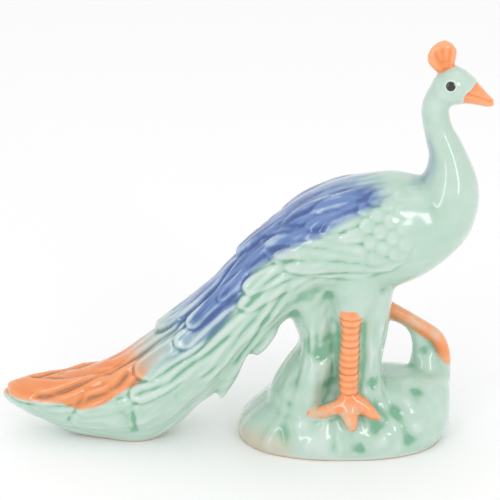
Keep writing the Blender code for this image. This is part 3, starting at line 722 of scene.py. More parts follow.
@dataclass(frozen=True)
class Spine:
    """The line of feathers from the breast to the tip of the train: x, z, half height, half width."""

    rows: Rows = (
        (92.0, 96.0, 6.0, 7.0), (85.0, 92.6, 11.0, 12.6), (78.0, 91.0, 16.0, 15.6),
        (70.0, 90.4, 20.4, 17.6), (60.0, 89.2, 23.6, 18.8), (50.0, 87.4, 24.6, 19.4),
        (40.0, 85.0, 24.0, 19.0), (29.0, 80.6, 23.4, 17.6), (17.4, 73.2, 22.6, 16.6),
        (7.5, 63.6, 22.6, 15.8), (-3.5, 51.6, 21.8, 15.4), (-13.2, 39.8, 21.4, 15.4),
        (-23.8, 31.2, 20.2, 15.4), (-32.9, 22.8, 20.4, 15.0), (-45.5, 15.0, 19.6, 14.0),
        (-58.7, 13.4, 16.2, 12.4), (-71.9, 13.2, 13.6, 10.2), (-83.1, 15.2, 9.6, 7.6),
        (-91.6, 16.6, 5.6, 4.8), (-98.0, 17.8, 2.0, 2.0),
    )

    def places(self, points: np.ndarray) -> tuple[np.ndarray, np.ndarray, np.ndarray]:
        """Places of points on the plumage.

        Args:
            points: points of the smooth clay, one a row.

        Returns:
            Distance along the spine, distance up the side round the form, and a number that is
            1 on the form's own skin and more outside it.
        """
        rows = np.array(smooth_rows(self.rows))
        steps = np.hypot(np.diff(rows[:, 0]), np.diff(rows[:, 1]))
        table = np.column_stack((rows, np.concatenate(((0.0,), np.cumsum(steps)))))
        best = np.full(len(points), np.inf)
        along, around, nearness = np.zeros((3, len(points)))
        for start, end in zip(table, table[1:]):
            run = end[:2] - start[:2]
            t, miss = from_span(points[:, (0, 2)], start[:2], end[:2])
            distance = np.hypot(miss[:, 0], miss[:, 1])
            nearer = distance < best
            best[nearer] = distance[nearer]
            height, width = start[2:4, None] + (end - start)[2:4, None] * t
            up = np.sign(miss[:, 0] * run[1] - miss[:, 1] * run[0])
            angle = np.arctan2(up * distance / height, np.abs(points[:, 1]) / width)
            along[nearer] = (start[4] + t * (end[4] - start[4]))[nearer]
            around[nearer] = (angle * (height + width) / 2)[nearer]
            nearness[nearer] = np.hypot(distance / height, points[:, 1] / width)[nearer]
        return along, around, nearness


@dataclass(frozen=True)
class Feather:
    """One round-ended feather in the plumage's own places: root, tip, width and lift."""

    root_along: float
    root_around: float
    tip_along: float
    tip_around: float
    width: float
    lift: float
    crown: float = -0.4
    edge: float = 0.9
    groove: float = 0.6
    fade: float = 0.3
    root_lift: float = 0.3
    tip: float = 0.75
    tip_most: float = 0.8

    def lay(self, relief: np.ndarray, along: np.ndarray, around: np.ndarray) -> np.ndarray:
        """Lays the feather over the relief, with a groove round its edge.

        Args:
            relief: height of what lies below.
            along: distance along the spine.
            around: distance up the side.

        Returns:
            The relief with the feather on it.
        """
        run_along = self.tip_along - self.root_along
        run_around = self.tip_around - self.root_around
        length = math.hypot(run_along, run_around)
        s = along - self.root_along
        a = around - self.root_around
        t = (s * run_along + a * run_around) / length**2
        across = (a * run_along - s * run_around) / length
        half = self.width / 2
        tip_start = 1.0 - min(self.tip_most, self.tip * self.width / length)
        outline = np.maximum((t - tip_start) / (1.0 - tip_start), 0.0) ** 2 + (across / half) ** 2
        inside = (1.0 - np.sqrt(outline)) * half
        shown = soft_step(t / self.fade)
        groove = self.groove * self.lift * np.exp(-(inside**2)) * (inside < 0) * shown
        rise = self.root_lift + (1.0 - self.root_lift) * t
        body = self.lift * rise * (1.0 - self.crown * np.clip(outline, 0.0, 1.0))
        cover = soft_step(inside / self.edge + 0.5) * shown
        return (relief - groove) * (1.0 - cover) + body * cover


@dataclass(frozen=True)
class Crease:
    """One crease between feathers, with a lip along each side of it."""

    depth: float
    lip_above: float
    lip_below: float
    line: Rows
    width: float = 0.9
    lip_away: float = 2.1
    lip_width: float = 1.2
    fade: float = 5.0

    def heights(self, along: np.ndarray, around: np.ndarray) -> np.ndarray:
        """Height of the lips, less the crease.

        Args:
            along: distance along the spine.
            around: distance up the side.

        Returns:
            One height for each place.
        """
        places = np.column_stack((along, around))
        points = np.array(self.line)
        best = np.full(len(places), np.inf)
        across, reached = np.zeros((2, len(places)))
        walked = 0.0
        for start, end in zip(points, points[1:]):
            run = end - start
            length = np.hypot(*run)
            t, miss = from_span(places, start, end)
            distance = np.hypot(miss[:, 0], miss[:, 1])
            nearer = distance < best
            best[nearer] = distance[nearer]
            side = np.sign(miss[:, 1] * run[0] - miss[:, 0] * run[1])
            across[nearer] = (side * distance)[nearer]
            reached[nearer] = (walked + t * length)[nearer]
            walked += length
        shown = soft_step(reached / self.fade) * soft_step((walked - reached) / self.fade)
        lip = np.where(across > 0, self.lip_above, self.lip_below)
        raised = lip * np.exp(-(((best - self.lip_away) / self.lip_width) ** 2))
        return (raised - self.depth * np.exp(-((best / self.width) ** 2))) * shown


@dataclass(frozen=True)
class Plumage:
    """The carved feathers of the train and the folded wings."""

    train: Rows = (
        (167.0, 2.8, 215.2, -0.8, 15.0, 0.7),
        (155.5, 13.2, 205.4, 1.2, 7.5, 1.1),
        (132.9, 18.7, 215.5, 4.8, 10.0, 1.2),
        (139.3, -6.7, 188.9, 0.7, 18.0, 0.8),
        (151.6, 7.9, 185.9, 2.5, 7.0, 1.1),
        (122.9, -2.9, 165.7, -4.6, 13.0, 0.7),
        (116.0, -0.1, 159.6, 5.2, 6.5, 1.1),
        (112.1, 8.6, 152.0, 11.8, 9.5, 1.3),
        (98.0, 27.0, 136.0, 27.0, 13.0, 1.2),
        (101.7, -3.0, 144.8, -6.7, 10.0, 0.6),
        (82.5, -3.6, 127.0, -12.3, 10.0, 0.6),
        (92.5, 8.5, 130.7, 11.4, 7.5, 1.3),
        (86.1, 12.0, 119.4, 13.9, 7.0, 1.3),
        (84.1, 14.6, 103.0, 11.4, 4.6, 0.9),
        (58.0, 31.0, 88.0, 30.0, 14.0, 1.2),
        (76.1, -0.5, 98.8, 3.9, 6.0, 0.9),
        (70.2, 2.8, 93.0, 7.4, 6.5, 1.2),
    )
    creases: tuple[Rows, ...] = (
        (
            (1.1, 0.5, 0.7),
            (82.0, 25.2), (90.1, 23.8), (101.3, 19.8), (115.1, 18.8), (127.0, 17.2),
            (137.3, 17.9), (149.0, 18.6), (158.0, 18.2), (175.6, 15.6), (192.5, 8.1),
            (205.0, 2.6),
        ),
        ((0.9, 0.7, 0.2), (152.6, 14.6), (161.3, 11.7), (169.9, 10.0), (179.2, 6.8), (185.6, 3.0)),
        ((0.8, 0.0, 0.0), (179.6, 10.6), (183.1, 6.7), (185.4, 3.3), (188.1, -0.1), (191.1, -5.9)),
        ((0.6, 0.4, 0.4), (76.0, 4.2), (87.9, 3.8), (95.7, 2.8), (110.2, 4.0), (121.0, 5.0)),
        (
            (0.7, 0.5, 0.2),
            (108.0, -0.6), (115.3, 0.4), (128.6, 2.2), (141.0, 1.7), (153.0, 4.6),
            (160.0, 5.2),
        ),
        ((0.6, 0.3, 0.3), (76.0, -1.2), (88.6, -4.0), (98.8, -6.5), (109.6, -10.0), (121.0, -11.4)),
        ((0.5, 0.3, 0.3), (87.0, -0.6), (100.2, -2.7), (110.0, -3.9), (120.1, -4.2), (134.0, -4.6)),
        ((0.9, 0.0, 0.0), (161.0, 3.0), (163.6, -2.4), (165.5, -9.0)),
        ((0.6, 0.0, 0.0), (138.6, 26.4), (133.5, 20.8), (125.0, 19.6)),
    )
    wing: Rows = (
        (35.2, -6.3, 75.7, 4.1, 6.5, 1.2),
        (38.3, -2.7, 76.4, 10.7, 6.0, 1.1),
        (42.6, 1.2, 77.3, 17.5, 6.0, 1.1),
        (49.2, 5.7, 77.3, 25.8, 5.5, 1.1),
        (49.6, 12.6, 73.3, 24.4, 6.0, 1.1),
        (56.3, 11.1, 68.3, 13.1, 5.0, 0.8),
        (50.2, 15.4, 62.6, 13.8, 5.5, 0.8),
        (45.3, 12.5, 57.1, 11.3, 5.5, 0.8),
        (40.0, 6.9, 53.0, 7.0, 5.5, 0.8),
        (49.0, 26.4, 68.7, 21.5, 6.0, 1.1),
        (41.6, 23.4, 59.4, 19.0, 6.0, 1.1),
    )
    outline: Rows = (
        (24.0, 8.0, 12.0), (26.0, 2.0, 18.0), (30.3, -5.9, 22.0), (37.2, -9.1, 24.5),
        (44.5, -8.3, 25.5), (53.2, -7.0, 26.0), (61.3, -5.6, 25.0), (68.5, -2.6, 24.0),
        (74.6, 2.6, 25.0), (78.0, 10.0, 24.0), (80.0, 18.0, 20.0),
    )
    wing_lift: float = 0.9
    wing_edge: float = 2.2
    wing_top_edge: float = 6.0
    wing_front: float = 13.0
    wing_groove: float = 0.3
    wing_crown: float = 0.4
    wing_tip: float = 2.0
    skirt_top: float = 3.0
    skirt_crown: float = 0.3
    skirt_share: float = 0.6
    scale_rows: int = 4
    scales_in_row: int = 4
    scale_start: float = 41.5
    scale_low: float = -2.0
    scale_pitch: float = 4.3
    scale_length: float = 7.4
    scale_width: float = 5.9
    scale_lift: float = 0.55
    scale_lean: float = 0.5
    scale_crown: float = 0.4
    strokes: tuple[Strokes, ...] = (Strokes(16.0, 2.2, 0.8, 3), Strokes(9.0, 1.3, 0.5, 8))
    streaks: tuple[Strokes, ...] = (Strokes(10.0, 2.0, 1.2, 21), Strokes(5.0, 1.1, 0.8, 22))
    strokes_from: float = 50.0
    strokes_full: float = 72.0
    reach: float = 1.42
    fade: float = 0.2
    ground: tuple[float, float] = (1.0, 5.0)

    def shoulder_scales(self) -> Iterator[Feather]:
        """Scales in rows from the wing's feathers forward, each row half a scale on."""
        for row in range(self.scale_rows):
            middle = self.scale_start - row * self.scale_pitch
            for place in range(self.scales_in_row):
                around = self.scale_low + self.scale_width * (place + 0.5 * (row % 2))
                half = self.scale_length / 2
                lean = self.scale_lean
                ends = (middle - half, around + lean, middle + half, around - lean)
                yield Feather(*ends, self.scale_width, self.scale_lift, self.scale_crown)

    def heights(self, along: np.ndarray, around: np.ndarray) -> np.ndarray:
        """Height of the carved plumage over the smooth form.

        Args:
            along: distance along the spine.
            around: distance up the side.

        Returns:
            One height for each place.
        """
        under = np.zeros(len(along))
        for row in self.train:
            feather = Feather(*row)
            if feather.tip_around < self.skirt_top:
                lift = feather.lift * self.skirt_share
                feather = replace(feather, lift=lift, crown=self.skirt_crown)
            under = feather.lay(under, along, around)
        for shape, *line in self.creases:
            under += Crease(*shape, tuple(line)).heights(along, around)
        from_low = around - read_table(self.outline, along)
        from_high = read_table(self.outline, along, 2) - around
        reach = soft_step((along - self.outline[0][0]) / self.wing_front)
        reach *= soft_step((self.outline[-1][0] - along) / self.wing_edge)
        wing = soft_step(from_low / self.wing_edge + 0.5)
        wing *= soft_step(from_high / self.wing_top_edge + 0.5) * reach
        under -= self.wing_groove * np.exp(-(from_low**2)) * (from_low < 0) * reach
        over = np.zeros(len(along))
        flight = (Feather(*row, self.wing_crown, tip=self.wing_tip) for row in self.wing)
        for feather in (*flight, *self.shoulder_scales()):
            over = feather.lay(over, along, around)
        carved = under * (1.0 - wing) + (self.wing_lift + over) * wing
        grown = (along - self.strokes_from) / (self.strokes_full - self.strokes_from)
        fine = sum(strokes.heights(along, around) for strokes in self.strokes)
        return carved + fine * soft_step(grown)

    def streaked(self, skin: Skin) -> np.ndarray:
        """Where the glaze has run along the feathers, which is colour alone.

        Args:
            skin: the skin and its places on the plumage.

        Returns:
            A number around 0 for each point, more where the glaze is thick.
        """
        total = sum(streaks.heights(skin.along, skin.around) for streaks in self.streaks)
        return total * skin.on_bird


class PaintName(Enum):
    """The two sprayed colours."""

    BLUE = "blue"
    ORANGE = "orange"


@dataclass(frozen=True)
class Spray:
    """Where the blue and the orange are sprayed over the plumage, in its own places.

    Each edge table gives, along the spine, how far up the side the colour starts. Each
    strength table gives, along the spine, how dense the colour is.
    """

    blue_edge: Rows = (
        (24.0, 17.0), (30.0, 15.0), (37.0, 15.7), (44.0, 14.6), (50.0, 12.4),
        (58.0, 10.0), (65.0, 9.4), (72.0, 9.8), (81.0, 11.3), (87.0, 11.0),
        (92.0, 9.1), (97.0, 7.0), (102.0, 5.4), (114.0, 4.0), (124.0, 4.6),
        (134.0, 5.6), (145.0, 9.0),
    )
    blue_strength: Rows = (
        (20.0, 0.0), (33.0, 0.15), (39.0, 0.6), (44.0, 0.9), (50.0, 1.0),
        (100.0, 1.0), (111.0, 0.7), (120.0, 0.5), (132.0, 0.3), (142.0, 0.27),
        (150.0, 0.2), (158.0, 0.0),
    )
    blue_fade: float = 7.0
    blue_thins_from: float = 20.0
    blue_thins_over: float = 8.0
    blue_thins_until: float = 66.0
    blue_thins_run: float = 14.0
    blue_thinned: float = 0.4
    orange_edge: Rows = (
        (118.0, 14.0), (134.0, 11.0), (144.0, 9.6), (153.0, 8.1), (160.0, 8.6),
        (168.0, 7.6), (176.0, 4.2), (181.0, 3.1), (185.0, 2.6), (192.0, 4.4),
        (197.0, 3.8), (204.0, 2.4), (218.0, 1.0),
    )
    orange_strength: Rows = (
        (120.0, 0.0), (134.0, 0.15), (143.0, 0.4), (152.0, 0.8), (159.0, 1.0),
        (212.0, 1.0), (218.0, 0.6),
    )
    orange_fade: float = 2.0
    nape_low: float = 106.0
    nape_rise: float = 9.0
    nape_high: float = 134.0
    nape_fall: float = 12.0
    nape_reach: float = 5.0
    nape_back: float = 8.0
    nape_strength: float = 0.4
    blots: Rows = (
        (165.0, -5.0, 2.6, 4.0, 0.8),
        (166.3, -1.0, 2.0, 3.4, 0.6),
        (165.0, 6.0, 2.6, 1.6, 0.6),
        (96.5, -5.5, 4.0, 1.6, 0.6),
        (92.6, -23.5, 4.6, 3.0, 0.8),
        (83.9, -6.5, 5.0, 1.6, 0.6),
        (86.6, -13.5, 5.0, 2.0, 0.6),
        (116.0, -13.8, 4.0, 2.4, 0.6),
        (146.0, -15.0, 3.0, 2.4, 0.4),
        (76.4, -7.0, 4.6, 1.3, 0.7),
        (73.8, -11.0, 5.4, 1.3, 0.7),
        (69.6, -14.5, 5.6, 1.4, 0.7),
    )

    def _spread(self, along: np.ndarray, around: np.ndarray, which: PaintName) -> np.ndarray:
        """Density of one of the sprayed colours at these places."""
        edge, strength, fade = {
            PaintName.BLUE: (self.blue_edge, self.blue_strength, self.blue_fade),
            PaintName.ORANGE: (self.orange_edge, self.orange_strength, self.orange_fade),
        }[which]
        inside = around - read_table(edge, along)
        return soft_step(inside / fade + 0.5) * read_table(strength, along)

    def blue(self, skin: Skin, neck: Neck) -> np.ndarray:
        """Density of the blue over the back and the nape.

        Args:
            skin: the skin and its places on the plumage.
            neck: the neck, for the line of the nape.

        Returns:
            A number from 0 to 1 for each point.
        """
        back = self._spread(skin.along, skin.around, PaintName.BLUE) * skin.on_bird
        top = soft_step((skin.around - self.blue_thins_from) / self.blue_thins_over)
        top *= soft_step((self.blue_thins_until - skin.along) / self.blue_thins_run)
        back *= 1.0 - self.blue_thinned * top
        x, _, z = skin.points.T
        from_nape = x - neck.back_at(z)
        behind = 1.0 - soft_step(from_nape / self.nape_reach)
        behind *= soft_step((from_nape + self.nape_back) / self.nape_reach)
        height = soft_step((z - self.nape_low) / self.nape_rise)
        height *= soft_step((self.nape_high - z) / self.nape_fall)
        return np.maximum(back, self.nape_strength * behind * height)

    def orange(self, skin: Skin) -> np.ndarray:
        """Density of the orange over the train's end.

        Args:
            skin: the skin and its places on the plumage.

        Returns:
            A number from 0 to 1 for each point.
        """
        return self._spread(skin.along, skin.around, PaintName.ORANGE) * skin.on_bird

    def blotted(self, skin: Skin) -> np.ndarray:
        """Where the green glaze has run together over the plumage.

        Args:
            skin: the skin and its places on the plumage.

        Returns:
            A number from 0 to 1 for each point.
        """
        total = np.zeros(len(skin.along))
        for along, around, long_reach, wide_reach, strength in self.blots:
            away = ((skin.along - along) / long_reach) ** 2
            away += ((skin.around - around) / wide_reach) ** 2
            total = np.maximum(total, strength * np.exp(-away))
        return total * skin.on_bird


class Web:
    """The edges of a skin, for averages over a point's neighbours."""

    def __init__(self, mesh: bpy.types.Mesh, spacing: float) -> None:
        """Reads the edges.

        Args:
            mesh: the skin.
            spacing: length of its edges, in the drawing's units.
        """
        ends = np.empty(len(mesh.edges) * 2, np.int32)
        mesh.edges.foreach_get("vertices", ends)
        self.start, self.end = ends.reshape(-1, 2).T
        self.count = len(mesh.vertices)
        self.links = np.bincount(self.start, minlength=self.count)
        self.links += np.bincount(self.end, minlength=self.count)
        self.spacing = spacing

    def spread(self, values: np.ndarray, reach: float) -> np.ndarray:
        """Averages numbers over the skin around each point.

        Args:
            values: one number for each point.
            reach: how far around is averaged.

        Returns:
            The averages.
        """
        for _ in range(max(1, round((reach / self.spacing) ** 2))):
            total = np.bincount(self.start, values[self.end], self.count)
            total += np.bincount(self.end, values[self.start], self.count)
            values = (values + total / self.links) / 2
        return values


@dataclass
class Skin:
    """Points of the finished skin in the drawing, with what was worked out at each."""

    points: np.ndarray
    normals: np.ndarray
    along: np.ndarray
    around: np.ndarray
    on_bird: np.ndarray


@dataclass
class Figurine:
    """The whole figurine, cast as one piece."""

    body: Body = field(default_factory=Body)
    neck: Neck = field(default_factory=Neck)
    head: Head = field(default_factory=Head)
    train: Train = field(default_factory=Train)
    legs: Legs = field(default_factory=Legs)
    rock: Rock = field(default_factory=Rock)
    spine: Spine = field(default_factory=Spine)
    plumage: Plumage = field(default_factory=Plumage)
    spray: Spray = field(default_factory=Spray)
    voxel: float = 0.75
    softening_reach: float = 3.15
    head_softening_reach: float = 1.35
    glaze_reach: float = 1.35
    paint_margin: float = 1.5
    rock_top: float = 62.0
    rock_fade: float = 12.0
    foot_top: float = 1.0
    foot_fade: float = 6.0
    level_from: float = 0.95
    level_fade: float = 0.4
    pooling_reach: float = 1.6
    broad_reach: float = 4.5

    def passes(self, reach: float) -> int:
        """Passes of half-way smoothing that spread over this reach, in millimetres."""
        return max(1, round((reach / self.voxel) ** 2))

    def fused(self) -> bpy.types.Object:
        """Makes one skin of all the forms.

        Returns:
            The figurine's object, with its skin in the drawing's units.
        """
        clay = Clay()
        for part in (self.body, self.neck, self.head, self.train, self.legs, self.rock):
            part.shape(clay)
        bmesh.ops.recalc_face_normals(clay.mesh, faces=clay.mesh.faces)
        figure = bpy.data.objects.new("glazed_peacock", bpy.data.meshes.new("glazed_peacock"))
        bpy.context.scene.collection.objects.link(figure)
        clay.mesh.to_mesh(figure.data)
        clay.mesh.free()
        skin = figure.modifiers.new("one skin", "REMESH")
        skin.mode = "VOXEL"
        skin.voxel_size = self.voxel
        graph = bpy.context.evaluated_depsgraph_get()
        made = bpy.data.meshes.new_from_object(figure.evaluated_get(graph))
        figure.modifiers.clear()
        figure.data = made
        return figure

    def soften(self, mesh: bmesh.types.BMesh) -> None:
        """Rounds the joints between the forms as glaze does, the head's least."""
        softened = {"factor": 0.5, "use_axis_x": True, "use_axis_y": True, "use_axis_z": True}
        below_head = [vertex for vertex in mesh.verts if vertex.co.z < HEAD_FROM]
        head_passes = self.passes(self.head_softening_reach)
        for _ in range(self.passes(self.softening_reach) - head_passes):
            bmesh.ops.smooth_vert(mesh, verts=below_head, **softened)
        for _ in range(head_passes):
            bmesh.ops.smooth_vert(mesh, verts=mesh.verts, **softened)

    def stand(self, mesh: bmesh.types.BMesh) -> None:
        """Cuts the underside flat on the ground."""
        skin = [*mesh.verts, *mesh.edges, *mesh.faces]
        bmesh.ops.bisect_plane(mesh, geom=skin, plane_no=(0, 0, -1), clear_outer=True)
        rim = [edge for edge in mesh.edges if edge.is_boundary]
        feet = bmesh.ops.holes_fill(mesh, edges=rim)["faces"]
        bmesh.ops.triangulate(mesh, faces=feet)

    def carve(self, mesh: bpy.types.Mesh, web: Web) -> Skin:
        """Raises and cuts the carving, as the glaze has softened it.

        Args:
            mesh: the softened skin.
            web: its edges.

        Returns:
            The skin's points after the carving, with their places on the plumage.
        """
        points, normals = self.read(mesh)
        height = points[:, 2].copy()
        along, around, nearness = self.spine.places(points)
        low, high = self.plumage.ground
        on_bird = soft_step((self.plumage.reach - nearness) / self.plumage.fade)
        off_ground = soft_step((height - low) / (high - low))
        heights = self.plumage.heights(along, around) * on_bird * off_ground
        legs = soft_step(self.legs.painted(points) + self.paint_margin)
        bare = (1.0 - on_bird) * (1.0 - legs)
        below_body = soft_step((self.rock_top - height) / self.rock_fade)
        below_body *= soft_step((height - self.foot_top) / self.foot_fade)
        below_body *= soft_step((self.level_from - normals[:, 2]) / self.level_fade)
        heights += self.rock.heights(points) + self.rock.stroked(points) * bare * below_body
        heights = web.spread(heights, self.glaze_reach)
        heights += self.legs.heights(points) + self.head.heights(points)
        points += normals * heights[:, None]
        mesh.vertices.foreach_set("co", points.astype(np.float32).ravel())
        mesh.update()
        return Skin(*self.read(mesh), along, around, on_bird)

    def read(self, mesh: bpy.types.Mesh) -> tuple[np.ndarray, np.ndarray]:
        """The points and normals of a skin.

        Args:
            mesh: the skin.

        Returns:
            Both, one point a row.
        """
        found = []
        for name in ("co", "normal"):
            values = np.empty(len(mesh.vertices) * 3, np.float32)
            mesh.vertices.foreach_get(name, values)
            found.append(values.reshape(-1, 3).astype(float))
        return tuple(found)

    def pooling(self, web: Web, skin: Skin, reach: float) -> np.ndarray:
        """How far each point lies below the skin around it.

        Args:
            web: the skin's edges.
            skin: the skin's points and normals.
            reach: how far around is compared, in millimetres.

        Returns:
            Millimetres below the skin around, less than 0 on a ridge.
        """
        around = np.column_stack([web.spread(values, reach) for values in skin.points.T])
        return ((around - skin.points) * skin.normals).sum(axis=1)

    def build(self, low: Vector, high: Vector) -> tuple[bpy.types.Object, Matrix]:
        """Makes the figurine to stand in the solid's own box.

        Args:
            low: lowest corner of the solid's box, in metres.
            high: highest corner of the solid's box, in metres.

        Returns:
            The figurine's object, with the glaze's numbers on its points, and the matrix that
            carries the drawing to the row's frame.
        """
        figure = self.fused()
        mesh = bmesh.new()
        mesh.from_mesh(figure.data)
        self.soften(mesh)
        self.stand(mesh)
        mesh.to_mesh(figure.data)
        mesh.free()
        figure.data.shade_smooth()
        web = Web(figure.data, self.voxel)
        skin = self.carve(figure.data, web)
        narrow = self.pooling(web, skin, self.pooling_reach)
        broad = self.pooling(web, skin, self.broad_reach)
        orange = np.maximum(self.head.painted(skin.points), self.legs.painted(skin.points))
        numbers = {
            "pooling": narrow,
            "hollow": broad,
            "blue": self.spray.blue(skin, self.neck),
            "orange": self.spray.orange(skin),
            "brushed": orange,
            "blotted": self.spray.blotted(skin) + self.rock.pools(skin.points),
            "worn": self.rock.worn(skin.points) * (1.0 - skin.on_bird),
            "streaked": self.plumage.streaked(skin),
        }
        for name, values in numbers.items():
            kept = figure.data.attributes.new(name, "FLOAT", "POINT")
            kept.data.foreach_set("value", values.astype(np.float32))
        corners = skin.points.min(axis=0), skin.points.max(axis=0)
        size = Vector(corners[1] - corners[0])
        scale = Matrix.Diagonal([(high[i] - low[i]) / size[i] for i in range(3)]).to_4x4()
        place = Matrix.Translation(low) @ scale @ Matrix.Translation(-Vector(corners[0]))
        figure.data.transform(place)
        return figure, place


class Signal:
    """A number or a colour that a socket gives, with the usual operators on numbers."""

    def __init__(self, recipe: Recipe, socket: bpy.types.NodeSocket) -> None:
        """Keeps the socket and the recipe that it belongs to."""
        self.recipe = recipe
        self.socket = socket

    def maths(self, operation: str, *values: Signal | float) -> Signal:
        """Adds one Math node.

        Args:
            operation: the node's operation.
            values: its inputs in order.

        Returns:
            What the node gives.
        """
        sockets = dict(enumerate(values))
        return self.recipe.signal("ShaderNodeMath", {"operation": operation}, sockets)

    def __add__(self, other: Signal | float) -> Signal:
        """The sum."""
        return self.maths("ADD", self, other)

    def __radd__(self, other: float) -> Signal:
        """The sum, with the number first."""
        return self.maths("ADD", other, self)

    def __sub__(self, other: Signal | float) -> Signal:
        """The difference."""
        return self.maths("SUBTRACT", self, other)

    def __rsub__(self, other: float) -> Signal:
        """The difference, with the number first."""
        return self.maths("SUBTRACT", other, self)

    def __mul__(self, other: Signal | float) -> Signal:
        """The product."""
        return self.maths("MULTIPLY", self, other)

    def __rmul__(self, other: float) -> Signal:
        """The product, with the number first."""
        return self.maths("MULTIPLY", other, self)

    def ease(self, start: float, end: float) -> Signal:
        """From 0 at start to 1 at end, with soft ends."""
        settings = {"interpolation_type": "SMOOTHSTEP"}
        sockets = {"Value": self, "From Min": start, "From Max": end}
        return self.recipe.signal("ShaderNodeMapRange", settings, sockets)


@dataclass(frozen=True)
class Clouds:
    """Soft noise: clouds in a metre, how finely they break up, how much finer they are upright."""

    scale: float
    detail: float
    upright: float = 1.0


class Recipe:
    """The node tree of one finish."""

    def __init__(self, name: str) -> None:
        """Starts a material of this name, with its Principled shader."""
        self.material = bpy.data.materials.new(name)
        self.material.use_nodes = True
        self.tree = self.material.node_tree
        self.shader = self.tree.nodes["Principled BSDF"]

    def feed(self, node: bpy.types.Node, sockets: Mapping[int | str, object]) -> None:
        """Gives values or signals to a node's inputs.

        Args:
            node: the node.
            sockets: what each input gets.
        """
        for name, value in sockets.items():
            if isinstance(value, Signal):
                self.tree.links.new(value.socket, node.inputs[name])
            else:
                node.inputs[name].default_value = value

    def signal(
        self,
        kind: str,
        settings: Mapping[str, object],
        sockets: Mapping[int | str, object],
        output: int | str = 0,
    ) -> Signal:
        """Adds one node and gives one of its outputs.

        Args:
            kind: the node's type.
            settings: its settings, set first.
            sockets: values or signals for its inputs.
            output: the output that is given.

        Returns:
            What that output gives.
        """
        node = self.tree.nodes.new(kind)
        for name, value in settings.items():
            setattr(node, name, value)
        self.feed(node, sockets)
        return Signal(self, node.outputs[output])

    def here(self) -> Signal:
        """Where a point is, in the piece's own coordinates."""
        return self.signal("ShaderNodeTexCoord", {}, {}, "Object")

    def reading(self, name: str) -> Signal:
        """The number of this name on the skin's points."""
        return self.signal("ShaderNodeAttribute", {"attribute_name": name}, {}, "Fac")

    def blend(self, share: Signal, first: Colour | Signal, second: Colour | Signal) -> Signal:
        """Mixes two colours.

        Args:
            share: how much of the second is in the mix.
            first: one colour.
            second: the other colour.

        Returns:
            The mixed colour.
        """
        plain = [(*c, 1.0) if isinstance(c, tuple) else c for c in (first, second)]
        sockets = {0: share, 6: plain[0], 7: plain[1]}
        return self.signal("ShaderNodeMix", {"data_type": "RGBA"}, sockets, 2)

    def clouds(self, kind: Clouds) -> Signal:
        """Soft noise over the piece's own coordinates.

        Args:
            kind: how large and how fine the clouds are.

        Returns:
            Numbers round a half.
        """
        stretch = {"Vector": self.here(), "Scale": (1.0, 1.0, kind.upright)}
        place = self.signal("ShaderNodeMapping", {}, stretch)
        sockets = {"Vector": place, "Scale": kind.scale, "Detail": kind.detail}
        return self.signal("ShaderNodeTexNoise", {}, sockets)


@dataclass(frozen=True)
class Tone:
    """One glaze colour: on a ridge, on plain skin and where it pools."""

    ridge: Colour
    plain: Colour
    pool: Colour

    def over(self, recipe: Recipe, depth: Signal) -> Signal:
        """The colour over a skin.

        Args:
            recipe: the finish that it is part of.
            depth: 0 on a ridge, a half on plain skin, 1 where the glaze pools.

        Returns:
            The colour.
        """
        upper = recipe.blend(depth.ease(0.0, 0.5), self.ridge, self.plain)
        return recipe.blend(depth.ease(0.5, 1.0), upper, self.pool)


